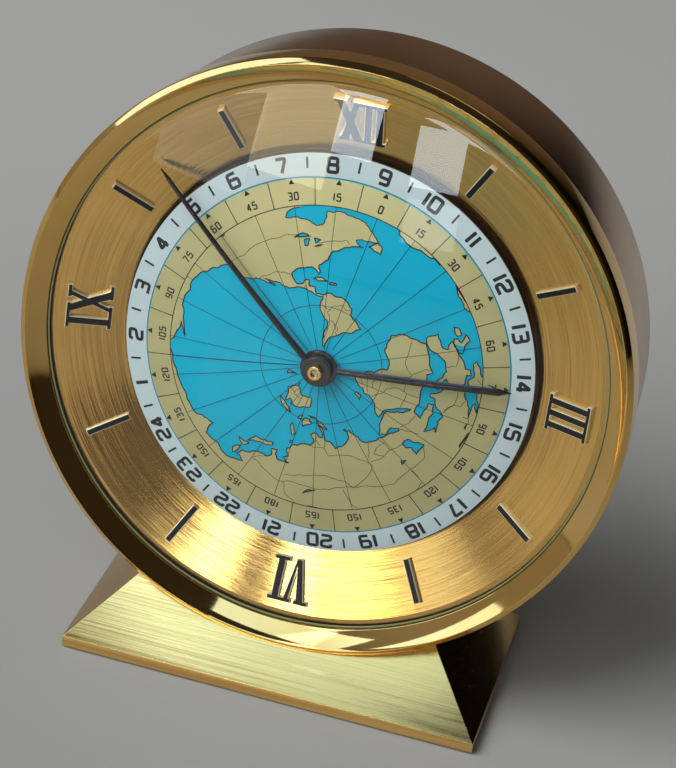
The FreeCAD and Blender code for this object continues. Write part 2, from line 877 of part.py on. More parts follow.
def hour_hand():
    """Hour hand on the hour wheel's pipe."""
    return hand(hour_hand_length, hour_hand_widths, hour_hub_radius, hand_thickness,
                hour_pipe_radius, hour_hand_front, hour_hand_deg)


def minute_hand():
    """Minute hand on the cannon pinion."""
    return hand(minute_hand_length, minute_hand_widths, minute_hub_radius, minute_hub_depth,
                cannon_radius, minute_hand_front, minute_hand_deg)


def hand_nut():
    """Gilt nut on the end of the cannon pinion."""
    return ring(hand_nut_radius, cannon_radius, hand_nut_front, minute_hand_front)


# Motion work: pitch radii and phases
cannon_pitch, minute_pitch = pitch_radii(cannon_tooth_count, minute_tooth_count, minute_wheel_distance)
minute_pinion_pitch, hour_pitch = pitch_radii(minute_pinion_tooth_count, hour_tooth_count,
                                              minute_wheel_distance)
idler_span = span(minute_at, idler_at)
idler_pitch = pitch_radii(minute_pinion_tooth_count, idler_tooth_count, idler_span)[1]
idler_pinion_pitch, day_pitch = pitch_radii(idler_pinion_tooth_count, day_tooth_count, idler_distance)
map_pinion_pitch, map_pitch = pitch_radii(map_pinion_tooth_count, map_tooth_count, map_arbor_distance)
set_pinion_pitch = pitch_radii(minute_tooth_count, set_pinion_tooth_count,
                               span(minute_at, set_arbor_at))[1]
minute_phase = mating_phase(cannon_tooth_count, 0, centre_at, minute_tooth_count, minute_at)
minute_pinion_phase = minute_phase
hour_phase = mating_phase(minute_pinion_tooth_count, minute_pinion_phase, minute_at, hour_tooth_count,
                          centre_at)
idler_phase = mating_phase(minute_pinion_tooth_count, minute_pinion_phase, minute_at, idler_tooth_count,
                           idler_at)
day_phase = mating_phase(idler_pinion_tooth_count, 0, idler_at, day_tooth_count, centre_at)
map_pinion_phase = mating_phase(map_tooth_count, 0, centre_at, map_pinion_tooth_count, map_arbor_at)
set_pinion_phase = mating_phase(minute_tooth_count, minute_phase, minute_at, set_pinion_tooth_count,
                                set_arbor_at)


def pipe(outer, inner_shaft, front, back):
    """Pipe that runs on the shaft inside it."""
    return ring(outer, inner_shaft + running_gap, front, back)


def cannon_pinion():
    """Cannon pinion: its pipe carries the minute hand and the nut."""
    front = minute_hand_front + cannon_stand
    bottom = minute_layer - wheel_thickness
    leaf = gear(cannon_tooth_count, cannon_pitch, centre_at, 0, minute_layer, wheel_thickness,
                centre_arbor_radius + running_gap)
    return leaf.fuse(pipe(cannon_radius, centre_arbor_radius, front, bottom))


def minute_wheel():
    """Minute wheel with its pinion, on a stud of the front plate."""
    bore = stud_radius + running_gap
    wheel = gear(minute_tooth_count, minute_pitch, minute_at, minute_phase, minute_layer,
                 wheel_thickness, bore)
    leaf = gear(minute_pinion_tooth_count, minute_pinion_pitch, minute_at, minute_pinion_phase,
                idler_layer, idler_layer - minute_layer, bore)
    return wheel.fuse(leaf)


def hour_wheel():
    """Hour wheel on its pipe, which carries the hour hand."""
    wheel = gear(hour_tooth_count, hour_pitch, centre_at, hour_phase, hour_layer, wheel_thickness,
                 cannon_radius + running_gap)
    return wheel.fuse(pipe(hour_pipe_radius, cannon_radius, hour_hand_front,
                           hour_layer - wheel_thickness))


def day_idler():
    """Idler between the minute pinion and the 24-hour wheel."""
    bore = stud_radius + running_gap
    wheel = gear(idler_tooth_count, idler_pitch, idler_at, idler_phase, idler_layer,
                 wheel_thickness, bore)
    collar_end = idler_layer - wheel_thickness
    leaf = gear(idler_pinion_tooth_count, idler_pinion_pitch, idler_at, 0, day_layer,
                wheel_thickness, bore)
    collar = ring(stud_radius + running_gap + pipe_wall, bore, day_layer, collar_end, idler_at)
    return fuse_all([wheel, leaf, collar])


def day_wheel():
    """24-hour wheel on the outermost pipe."""
    wheel = gear(day_tooth_count, day_pitch, centre_at, day_phase, day_layer, wheel_thickness,
                 map_pipe_radius + running_gap)
    front = carrier_peak - sag(day_pipe_radius, map_sphere_radius)
    return wheel.fuse(pipe(day_pipe_radius, map_pipe_radius, front, day_layer - wheel_thickness))


def map_wheel():
    """Map wheel on the pipe that carries the map disc."""
    wheel = gear(map_tooth_count, map_pitch, centre_at, 0, map_layer, wheel_thickness,
                 hour_pipe_radius + running_gap)
    front = map_peak - sag(map_pipe_radius, map_sphere_radius)
    return wheel.fuse(pipe(map_pipe_radius, hour_pipe_radius, front,
                           map_layer - wheel_thickness))


def wheel_studs():
    """Studs in the front plate for the minute wheel and the idler."""
    studs = [disc(stud_radius, idler_layer, front_plate_back, minute_at),
             disc(stud_radius, day_layer, front_plate_back, idler_at)]
    collars = [disc(stud_radius + pipe_wall, minute_layer - wheel_thickness - running_gap,
                    front_plate_front, minute_at),
               disc(stud_radius + pipe_wall, idler_layer - wheel_thickness - running_gap,
                    front_plate_front, idler_at)]
    return Part.makeCompound([stud.fuse(collar) for stud, collar in zip(studs, collars)])


# Control arbors
def control_arbor(at, teeth, pitch, phase_deg, layer):
    """Arbor from a pinion behind the dial to a knob behind the rear cover."""
    shaft = disc(control_arbor_radius, layer, rear_cover_back - knob_stand - knob_height / 2.0, at)
    leaf = gear(teeth, pitch, at, phase_deg, layer, wheel_thickness, 0)
    collar = disc(control_arbor_radius + pipe_wall, layer - wheel_thickness,
                  front_plate_front + running_gap, at)
    return fuse_all([shaft, leaf, collar])


def set_arbor():
    """Hand-setting arbor with its pinion."""
    return control_arbor(set_arbor_at, set_pinion_tooth_count, set_pinion_pitch, set_pinion_phase,
                         minute_layer)


def map_arbor():
    """Map-setting arbor with its pinion."""
    return control_arbor(map_arbor_at, map_pinion_tooth_count, map_pinion_pitch, map_pinion_phase,
                         map_layer)


def knob(at):
    """Fluted knob with a blind hole for its arbor."""
    front = rear_cover_back - knob_stand
    body = disc(knob_radius, front, front - knob_height, at)
    step = 360.0 / knob_flute_count
    cutters = [disc(knob_flute_radius, front + overrun, front - knob_height - overrun,
                    polar(knob_radius, step * index, at)) for index in range(knob_flute_count)]
    cutters.append(disc(control_arbor_radius, front + overrun, front - knob_height / 2.0, at))
    return cut_all(body, cutters)


def set_knob():
    """Knob that sets the hands."""
    return knob(set_arbor_at)


def map_knob():
    """Knob that turns the map."""
    return knob(map_arbor_at)


# Movement plates
train_places = [second_at, centre_at, third_at, fourth_at, escape_at, lever_at]


def front_plate():
    """Plate behind the dial."""
    front = front_plate_front + overrun
    back = front_plate_back - overrun
    holes = [disc(pivot_radius + running_gap, front, back, at)
             for at in train_places[:1] + train_places[2:] + [balance_at]]
    holes.append(disc(centre_arbor_radius + running_gap, front, back))
    holes.append(disc(barrel_arbor_radius + running_gap, front, back, barrel_at))
    for at in (map_arbor_at, set_arbor_at):
        holes.append(disc(control_arbor_radius + running_gap, front, back, at))
    for at in (minute_at, idler_at):
        holes.append(disc(stud_radius, front, back, at))
    for at in post_places:
        holes.append(disc(screw_shank_radius, front, back, at))
    return cut_all(disc(plate_radius, front_plate_front, front_plate_back), holes)


def back_plate():
    """Plate on the rear side of the train, with the window for the balance."""
    front = back_plate_front + overrun
    back = back_plate_back - overrun
    holes = [disc(pivot_radius + running_gap, front, back, at) for at in train_places]
    holes.append(disc(barrel_arbor_radius + running_gap, front, back, barrel_at))
    holes.append(disc(staff_radius + staff_clear, front, back, balance_at))
    for at in (map_arbor_at, set_arbor_at):
        holes.append(disc(control_arbor_radius + running_gap, front, back, at))
    for at in pillar_places + [click_at, cock_screw_at]:
        holes.append(disc(screw_shank_radius, front, back, at))
    return cut_all(disc(plate_radius, back_plate_front, back_plate_back), holes)


def dial_posts():
    """Posts from the dial to the front plate, tapped at the plate."""
    posts = []
    for at in post_places:
        hole = disc(screw_shank_radius, front_plate_front + screw_length,
                    front_plate_front - overrun, at)
        posts.append(disc(post_radius, dial_back, front_plate_front, at).cut(hole))
    return Part.makeCompound(posts)


def pillars():
    """Pillars between the plates, tapped at the back plate."""
    posts = []
    for at in pillar_places:
        hole = disc(screw_shank_radius, back_plate_front + screw_length,
                    back_plate_front - overrun, at)
        posts.append(disc(pillar_radius, front_plate_back, back_plate_front, at).cut(hole))
    return Part.makeCompound(posts)


def plate_screws():
    """Screws of the dial posts and of the pillars, all alike."""
    seats = [(at, front_plate_back) for at in post_places]
    seats += [(at, back_plate_back) for at in pillar_places]
    return Part.makeCompound([screw(at, seat, screw_head_height, screw_length)
                              for at, seat in seats])


# Barrel and winding
barrel_pitch, second_pinion_pitch = pitch_radii(barrel_tooth_count, second_pinion_tooth_count,
                                                barrel_second_distance)
barrel_module = barrel_pitch * 2.0 / barrel_tooth_count
barrel_drum_radius = barrel_pitch - barrel_module * dedendum_share - barrel_wall / 2.0
barrel_inner_radius = barrel_drum_radius - barrel_wall
barrel_bore = barrel_arbor_radius + running_gap


def barrel_drum():
    """Toothed barrel, open to the rear."""
    floor = gear(barrel_tooth_count, barrel_pitch, barrel_at, barrel_phase, barrel_front,
                 barrel_tooth_depth, barrel_bore)
    wall = ring(barrel_drum_radius, barrel_inner_radius, barrel_front - barrel_tooth_depth,
                barrel_back, barrel_at)
    return floor.fuse(wall)


def barrel_cover():
    """Cover of the barrel."""
    return ring(barrel_inner_radius, barrel_bore, barrel_back + barrel_wall, barrel_back,
                barrel_at)


def barrel_arbor():
    """Arbor inside the barrel: its core takes the mainspring, its tail takes the key."""
    shaft = disc(barrel_arbor_radius, front_plate_front, rear_cover_back - knob_stand
                 - key_hub_height / 2.0, barrel_at)
    core = disc(barrel_core_radius, barrel_front - barrel_tooth_depth - running_gap,
                barrel_back + barrel_wall + running_gap, barrel_at)
    return shaft.fuse(core)


def spiral_strip(at, inner, outer, turns, strip, front, back):
    """Flat spiral of half-turn arcs, each centred on one of two points."""
    steps = turns * 2
    pitch_half = (outer - inner - strip) / steps
    left = []
    right = []
    for side_offset, store in ((0.0, left), (strip, right)):
        for index in range(steps):
            start_radius = inner + side_offset + pitch_half * index
            end_radius = start_radius + pitch_half
            middle_radius = (start_radius + end_radius) / 2.0
            flip = 1 if index % 2 == 0 else -1
            start = V(at[0] + flip * start_radius, at[1], back)
            middle = V(at[0] + flip * (start_radius - end_radius) / 2.0,
                       at[1] + flip * middle_radius, back)
            end = V(at[0] - flip * end_radius, at[1], back)
            store.append(Part.Arc(start, middle, end).toShape())
    first = Part.LineSegment(left[0].Vertexes[0].Point, right[0].Vertexes[0].Point).toShape()
    last = Part.LineSegment(left[-1].Vertexes[-1].Point, right[-1].Vertexes[-1].Point).toShape()
    wire = Part.Wire(Part.__sortEdges__([first] + left + right + [last]))
    return Part.Face(wire).extrude(V(0, 0, front - back))


def mainspring():
    """Mainspring coiled between the arbor's core and the barrel's wall."""
    return spiral_strip(barrel_at, barrel_core_radius + mainspring_clear,
                        barrel_inner_radius - mainspring_clear, mainspring_turn_count,
                        mainspring_strip, barrel_front - barrel_tooth_depth - mainspring_clear,
                        barrel_back + barrel_wall + mainspring_clear)


def ratchet_wheel():
    """Ratchet wheel on the barrel arbor, behind the back plate."""
    front = back_plate_back - running_gap * 2.0
    root = ratchet_radius * ratchet_root_share
    step = 360.0 / ratchet_tooth_count
    points = []
    for index in range(ratchet_tooth_count):
        points.append(polar(root, step * index, barrel_at))
        points.append(polar(ratchet_radius, step * (index + ratchet_lean_share), barrel_at))
    wheel = prism(points, front, front - ratchet_thickness)
    return wheel.cut(disc(barrel_arbor_radius, front + overrun,
                          front - ratchet_thickness - overrun, barrel_at))


click_at = polar(click_distance, click_deg, barrel_at)


def click():
    """Sprung click: an eye round its screw and an arm that reaches the ratchet."""
    front = back_plate_back - running_gap
    back = back_plate_back - running_gap * 2.0 - ratchet_thickness
    tip_radius = ratchet_radius + running_gap
    eye = disc(click_eye_radius, front, back, click_at)
    arm = prism([click_at, polar(tip_radius, click_deg + click_lead_deg, barrel_at),
                 polar(tip_radius + click_width / 2.0, click_deg + click_heel_deg, barrel_at),
                 polar(click_width, click_deg + click_back_deg, click_at)], front, back)
    hole = disc(screw_shank_radius, front + overrun, back - overrun, click_at)
    return fuse_all([eye, arm]).cut(hole)


def bridge_screws():
    """Screws of the click and of the balance cock."""
    click_seat = back_plate_back - running_gap * 2.0 - ratchet_thickness
    cock_seat = cock_back + screw_head_height
    tip = back_plate_front - end_shake
    return Part.makeCompound([screw(click_at, click_seat, screw_head_height, tip - click_seat),
                              screw(cock_screw_at, cock_seat, screw_head_height,
                                    tip - cock_seat)])


def winding_key():
    """Winged key on the tail of the barrel arbor."""
    front = rear_cover_back - knob_stand
    hub = disc(key_hub_radius, front, front - key_hub_height, barrel_at)
    wing_front = front - key_hub_height / 2.0
    wing_back = wing_front - key_wing_height
    half = key_wing_span / 2.0 - key_wing_height / 2.0
    wing = Part.makeBox(half * 2.0, key_wing_thickness, key_wing_height,
                        V(barrel_at[0] - half, barrel_at[1] - key_wing_thickness / 2.0,
                          wing_back))
    ends = []
    for side in (-1, 1):
        ends.append(Part.makeCylinder(key_wing_height / 2.0, key_wing_thickness,
                                      V(barrel_at[0] + side * half,
                                        barrel_at[1] - key_wing_thickness / 2.0,
                                        wing_front - key_wing_height / 2.0), V(0, 1, 0)))
    socket = disc(barrel_arbor_radius, front + overrun, front - key_hub_height / 2.0, barrel_at)
    return fuse_all([hub, wing] + ends).cut(socket)


# Train: pitch radii and phases
second_pitch, centre_pinion_pitch = pitch_radii(second_tooth_count, centre_pinion_tooth_count,
                                                second_centre_distance)
centre_pitch, third_pinion_pitch = pitch_radii(centre_tooth_count, third_pinion_tooth_count,
                                               centre_third_distance)
third_pitch, fourth_pinion_pitch = pitch_radii(third_tooth_count, fourth_pinion_tooth_count,
                                               third_fourth_distance)
fourth_pitch, escape_pinion_pitch = pitch_radii(fourth_tooth_count, escape_pinion_tooth_count,
                                                fourth_escape_distance)
barrel_phase = 0.0
second_pinion_phase = mating_phase(barrel_tooth_count, barrel_phase, barrel_at, second_pinion_tooth_count,
                                   second_at)
centre_pinion_phase = mating_phase(second_tooth_count, 0, second_at, centre_pinion_tooth_count, centre_at)
third_pinion_phase = mating_phase(centre_tooth_count, 0, centre_at, third_pinion_tooth_count, third_at)
fourth_pinion_phase = mating_phase(third_tooth_count, 0, third_at, fourth_pinion_tooth_count, fourth_at)
escape_pinion_phase = mating_phase(fourth_tooth_count, 0, fourth_at, escape_pinion_tooth_count, escape_at)


def train_pinion(at, teeth, pitch, phase_deg, wheel_front, radius):
    """Arbor with a pinion a little longer than the wheel that drives it is thick."""
    margin = train_wheel_thickness / 2.0
    leaf = gear(teeth, pitch, at, phase_deg, wheel_front + margin / 2.0,
                train_wheel_thickness + margin, 0)
    return fuse_all([arbor(at, radius, pivot_radius, front_plate_back, back_plate_front), leaf])


def train_wheel(at, teeth, pitch, front, bore):
    """Train wheel pressed on its arbor."""
    return gear(teeth, pitch, at, 0, front, train_wheel_thickness, bore)


def second_arbor():
    """Second arbor, whose pinion the barrel drives."""
    leaf = gear(second_pinion_tooth_count, second_pinion_pitch, second_at, second_pinion_phase,
                barrel_front + running_gap, barrel_tooth_depth + running_gap * 2.0, 0)
    return fuse_all([arbor(second_at, train_arbor_radius, pivot_radius, front_plate_back,
                           back_plate_front), leaf])


def second_wheel():
    """Second wheel, which drives the centre pinion."""
    return train_wheel(second_at, second_tooth_count, second_pitch, second_wheel_front,
                       train_arbor_radius)


def centre_arbor():
    """Centre arbor: pinion between the plates, tail through the cannon pinion."""
    margin = train_wheel_thickness / 2.0
    body = disc(train_arbor_radius, front_plate_back - end_shake, back_plate_front + end_shake)
    tail = disc(centre_arbor_radius, minute_hand_front + cannon_stand / 2.0, front_plate_back
                - end_shake)
    pivot = disc(pivot_radius, back_plate_front + end_shake, back_plate_front - pivot_length)
    leaf = gear(centre_pinion_tooth_count, centre_pinion_pitch, centre_at, centre_pinion_phase,
                second_wheel_front + margin / 2.0, train_wheel_thickness + margin, 0)
    return fuse_all([body, tail, pivot, leaf])


def centre_wheel():
    """Centre wheel."""
    return train_wheel(centre_at, centre_tooth_count, centre_pitch, centre_wheel_front,
                       train_arbor_radius)


def third_arbor():
    """Third arbor and pinion."""
    return train_pinion(third_at, third_pinion_tooth_count, third_pinion_pitch, third_pinion_phase,
                        centre_wheel_front, train_arbor_radius)


def third_wheel():
    """Third wheel."""
    return train_wheel(third_at, third_tooth_count, third_pitch, third_wheel_front, train_arbor_radius)


def fourth_arbor():
    """Fourth arbor and pinion."""
    return train_pinion(fourth_at, fourth_pinion_tooth_count, fourth_pinion_pitch,
                        fourth_pinion_phase, third_wheel_front, fine_arbor_radius)


def fourth_wheel():
    """Fourth wheel."""
    return train_wheel(fourth_at, fourth_tooth_count, fourth_pitch, fourth_wheel_front,
                       fine_arbor_radius)


def escape_arbor():
    """Escape arbor and pinion."""
    return train_pinion(escape_at, escape_pinion_tooth_count, escape_pinion_pitch,
                        escape_pinion_phase, fourth_wheel_front, fine_arbor_radius)


def escape_wheel():
    """Escape wheel with pointed teeth."""
    root = escape_radius * escape_root_share
    step = 360.0 / escape_tooth_count
    points = []
    for index in range(escape_tooth_count):
        points.append(polar(root, step * index, escape_at))
        points.append(polar(escape_radius, step * (index + escape_lean_share), escape_at))
    wheel = prism(points, escape_wheel_front, escape_wheel_front - train_wheel_thickness)
    return wheel.cut(disc(fine_arbor_radius, escape_wheel_front + overrun,
                          escape_wheel_front - train_wheel_thickness - overrun, escape_at))


# Escapement
def pallet_lever():
    """Lever on its arbor: two pallet arms towards the escape wheel, a fork to the balance."""
    arm_half = escape_radius * pallet_span_share
    arm_width = escape_radius * pallet_width_share
    pallet = escape_lever_distance * pallet_reach_share
    reach = lever_balance_distance - roller_pin_orbit + roller_pin_radius
    fork_half = roller_pin_radius * fork_half_share
    slot_half = roller_pin_radius * fork_slot_share
    slot_depth = fork_half
    outline = [(-pallet, -arm_half), (-pallet, -arm_half + arm_width),
               (-arm_width, -arm_half + arm_width), (-arm_width, arm_half - arm_width),
               (-pallet, arm_half - arm_width), (-pallet, arm_half), (arm_width, arm_half),
               (arm_width, fork_half), (reach, fork_half), (reach, slot_half),
               (reach - slot_depth, slot_half), (reach - slot_depth, -slot_half),
               (reach, -slot_half), (reach, -fork_half), (arm_width, -fork_half),
               (arm_width, -arm_half)]
    points = []
    for along, across in outline:
        ahead = polar(along, lever_deg, lever_at)
        points.append(polar(across, lever_deg + 90.0, ahead))
    plate = prism(points, escape_wheel_front, escape_wheel_front - train_wheel_thickness)
    return fuse_all([plate, arbor(lever_at, fine_arbor_radius, pivot_radius, front_plate_back,
                                  back_plate_front)])


def balance_staff():
    """Balance staff with the roller and its pin, which stops just short of the lever."""
    roller_front = escape_wheel_front - train_wheel_thickness * 2.0
    body = disc(staff_radius, front_plate_back - end_shake, cock_front + end_shake, balance_at)
    pivots = disc(pivot_radius, front_plate_back + pivot_length,
                  cock_front - cock_thickness * pivot_length_share, balance_at)
    roller = disc(roller_radius, roller_front, roller_front - train_wheel_thickness, balance_at)
    pin_at = polar(roller_pin_orbit, lever_deg + 180.0, balance_at)
    pin = disc(roller_pin_radius, escape_wheel_front - train_wheel_thickness - running_gap,
               roller_front, pin_at)
    return fuse_all([body, pivots, roller, pin])


def balance_wheel():
    """Balance rim with two arms, behind the back plate."""
    back = balance_front - balance_thickness
    rim = ring(balance_radius, balance_radius - balance_rim_width, balance_front, back,
               balance_at)
    bar = Part.makeBox((balance_radius - balance_rim_width / 2.0) * 2.0, balance_rim_width,
                       balance_thickness,
                       V(balance_at[0] - balance_radius + balance_rim_width / 2.0,
                         balance_at[1] - balance_rim_width / 2.0, back))
    hub = disc(roller_radius, balance_front, back, balance_at)
    bore = disc(staff_radius, balance_front + overrun, back - overrun, balance_at)
    return fuse_all([rim, bar, hub]).cut(bore)


def hairspring():
    """Hairspring from the balance staff to its stud on the cock."""
    return spiral_strip(balance_at, staff_radius + hairspring_collet, hairspring_radius,
                        hairspring_turn_count, hairspring_strip, hairspring_front,
                        hairspring_front - hairspring_height)


cock_screw_at = polar(balance_radius + cock_foot_gap + cock_foot_length / 2.0, cock_deg,
                      balance_at)


def balance_cock():
    """Cock over the balance: a foot on the plate, an arm and the hairspring's stud."""
    half = cock_width / 2.0
    foot_start = balance_radius + cock_foot_gap
    foot_end = foot_start + cock_foot_length

    def bar(start, end, front, back):
        near = polar(start, cock_deg, balance_at)
        far = polar(end, cock_deg, balance_at)
        corners = [polar(half, cock_deg + 90.0, near),
                   polar(half, cock_deg - 90.0, near),
                   polar(half, cock_deg - 90.0, far),
                   polar(half, cock_deg + 90.0, far)]
        return prism(corners, front, back)

    stud_at = polar(hairspring_radius + hairspring_stud_radius + running_gap, cock_deg,
                    balance_at)
    cock = fuse_all([bar(-half, foot_end, cock_front, cock_back),
                     bar(foot_start, foot_end, back_plate_back, cock_back),
                     disc(hairspring_stud_radius, hairspring_front, cock_front, stud_at)])
    holes = [disc(pivot_radius + running_gap, cock_front + overrun, cock_back - overrun,
                  balance_at),
             disc(screw_shank_radius, back_plate_back + overrun, cock_back - overrun,
                  cock_screw_at),
             disc(screw_head_radius + running_gap, cock_back + screw_head_height,
                  cock_back - overrun, cock_screw_at)]
    return cut_all(cock, holes)


def place(shape):
    """Lean the clock back and set it on the base."""
    shape = shape.copy()
    shape.rotate(V(0, 0, 0), V(1, 0, 0), 90.0 - lean_deg)
    shape.translate(V(0, dial_setback - base_depth / 2.0, dial_height))
    return shape


STANDING = {"base_block": base_block, "base_felt": base_felt}

LEANING = {
    "base_screws": base_screws, "case_drum": case_drum, "bezel": bezel, "crystal": crystal,
    "gasket_ring": gasket_ring, "rear_cover": rear_cover, "rear_screws": rear_screws,
    "dial_plate": dial_plate, "hour_batons": hour_batons, "baton_faces": baton_faces,
    "roman_numerals": roman_numerals, "numeral_faces": numeral_faces, "map_disc": map_disc,
    "day_ring": day_ring, "day_ring_carrier": day_ring_carrier, "hour_hand": hour_hand,
    "minute_hand": minute_hand, "hand_nut": hand_nut, "cannon_pinion": cannon_pinion,
    "minute_wheel": minute_wheel, "hour_wheel": hour_wheel, "day_idler": day_idler,
    "day_wheel": day_wheel, "map_wheel": map_wheel, "wheel_studs": wheel_studs,
    "set_arbor": set_arbor, "map_arbor": map_arbor, "set_knob": set_knob,
    "map_knob": map_knob, "front_plate": front_plate, "back_plate": back_plate,
    "dial_posts": dial_posts, "pillars": pillars, "plate_screws": plate_screws,
    "barrel_drum": barrel_drum, "barrel_cover": barrel_cover, "barrel_arbor": barrel_arbor,
    "mainspring": mainspring, "ratchet_wheel": ratchet_wheel, "click": click,
    "bridge_screws": bridge_screws, "winding_key": winding_key, "second_arbor": second_arbor,
    "second_wheel": second_wheel, "centre_arbor": centre_arbor, "centre_wheel": centre_wheel,
    "third_arbor": third_arbor, "third_wheel": third_wheel, "fourth_arbor": fourth_arbor,
    "fourth_wheel": fourth_wheel, "escape_arbor": escape_arbor, "escape_wheel": escape_wheel,
    "pallet_lever": pallet_lever, "balance_staff": balance_staff,
    "balance_wheel": balance_wheel, "hairspring": hairspring, "balance_cock": balance_cock,
}


def main():
    """Write one file for each sub-part."""
    os.makedirs("parts", exist_ok=True)
    for name, make in STANDING.items():
        make().exportStep("parts/" + name + ".step")
    for name, make in LEANING.items():
        place(make()).exportStep("parts/" + name + ".step")
    print(len(STANDING) + len(LEANING), "sub-parts written")


main()
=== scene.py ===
"""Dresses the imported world-time desk clock: turned case, printed discs, hands, finishes and light.

Sizes are in millimetres in the classes, and become metres when a mesh is made. A leaning piece is
modelled in the clock's own frame, with its axis along Z and the dial's front near zero, and is
then put in its place on the base.
"""

import json
import logging
import math
import random
from contextlib import contextmanager
from dataclasses import dataclass
from enum import Enum
from typing import Any, Callable, Iterator, Sequence

import bpy
from mathutils import Matrix, Vector

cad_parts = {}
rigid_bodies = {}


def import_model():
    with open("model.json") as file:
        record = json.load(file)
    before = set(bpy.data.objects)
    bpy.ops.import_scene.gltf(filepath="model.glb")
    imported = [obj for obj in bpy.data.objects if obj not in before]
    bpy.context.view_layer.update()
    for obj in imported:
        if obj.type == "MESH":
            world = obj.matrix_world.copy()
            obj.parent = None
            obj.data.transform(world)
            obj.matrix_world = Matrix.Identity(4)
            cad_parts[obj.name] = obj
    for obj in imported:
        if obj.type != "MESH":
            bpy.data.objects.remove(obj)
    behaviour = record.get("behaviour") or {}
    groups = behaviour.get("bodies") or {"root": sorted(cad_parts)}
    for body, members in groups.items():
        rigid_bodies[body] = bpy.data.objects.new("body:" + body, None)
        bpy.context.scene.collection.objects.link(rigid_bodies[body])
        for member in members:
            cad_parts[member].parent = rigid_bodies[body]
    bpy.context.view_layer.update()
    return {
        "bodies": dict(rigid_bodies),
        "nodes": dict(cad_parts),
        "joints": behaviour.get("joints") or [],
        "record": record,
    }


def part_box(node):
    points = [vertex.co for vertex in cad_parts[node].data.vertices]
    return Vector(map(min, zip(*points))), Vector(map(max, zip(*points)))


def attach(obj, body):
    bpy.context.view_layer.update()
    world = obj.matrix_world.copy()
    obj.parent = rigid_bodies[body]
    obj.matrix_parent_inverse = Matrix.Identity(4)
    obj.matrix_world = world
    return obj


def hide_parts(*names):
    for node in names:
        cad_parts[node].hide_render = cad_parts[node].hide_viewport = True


LOG = logging.getLogger("clock")
MM = 0.001
WELD = 0.001 * MM
ZONES = 24
ZONE_DEG = 15.0
LEAN_DEG = 8.0
CLOCK_AT = Vector((0.0, -2.3545, 65.0909)) * MM
CLOCK_TURN = math.radians(90.0 - LEAN_DEG)
LEANING = Matrix.Translation(CLOCK_AT) @ Matrix.Rotation(CLOCK_TURN, 4, "X")
STANDING = Matrix.Identity(4)
CLOCK_MIDDLE = Vector((0.0, 0.0, 65.0)) * MM

Point = tuple[float, float]
Colour = tuple[float, float, float]


class Slot(Enum):
    """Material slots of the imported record."""

    BRUSHED_GOLD = "brushed_gold"
    POLISHED_GOLD = "polished_gold"
    DRUM_BRASS = "drum_brass"
    DIAL_GOLD = "dial_gold"
    BLACK_ENAMEL = "black_enamel"
    CRYSTAL_GLASS = "crystal_glass"
    MAP_PRINT = "map_print"
    RING_PRINT = "ring_print"
    FELT_GREEN = "felt_green"
    STEEL = "steel"
    PLATE_BRASS = "plate_brass"
    SPRING_STEEL = "spring_steel"


class Pick(Enum):
    """What edit mode selects."""

    POINTS = (True, False, False)
    FACES = (False, False, True)


# Shader arithmetic
class Val:
    """A shader socket that ordinary arithmetic works on."""

    def __init__(self, paint: "Paint", socket: bpy.types.NodeSocket) -> None:
        """Wrap a socket of a paint's node tree."""
        self.paint = paint
        self.socket = socket

    def math(self, operation: str, *others: Any) -> "Val":
        """Add one Math node.

        Args:
            operation: The Math node's operation.
            others: The values or sockets after this one.

        Returns:
            The result's socket.
        """
        inputs = dict(enumerate((self, *others)))
        return self.paint.node("ShaderNodeMath", {"operation": operation}, inputs)

    def __add__(self, other: Any) -> "Val":
        """Sum."""
        return self.math("ADD", other)

    def __mul__(self, other: Any) -> "Val":
        """Product."""
        return self.math("MULTIPLY", other)

    def __sub__(self, other: Any) -> "Val":
        """Difference."""
        return self.math("SUBTRACT", other)

    def __rsub__(self, other: float) -> "Val":
        """A number less this value."""
        inputs = {0: other, 1: self}
        return self.paint.node("ShaderNodeMath", {"operation": "SUBTRACT"}, inputs)

    __radd__ = __add__
    __rmul__ = __mul__

    def clamp(self) -> "Val":
        """Keep within nought and one."""
        return self.paint.node("ShaderNodeClamp", {}, {"Value": self})

    def ramp(self, low: float, high: float) -> "Val":
        """Smooth step from nought at low to one at high."""
        settings = {"interpolation_type": "SMOOTHSTEP"}
        inputs = {"Value": self, "From Min": low, "From Max": high}
        return self.paint.node("ShaderNodeMapRange", settings, inputs)


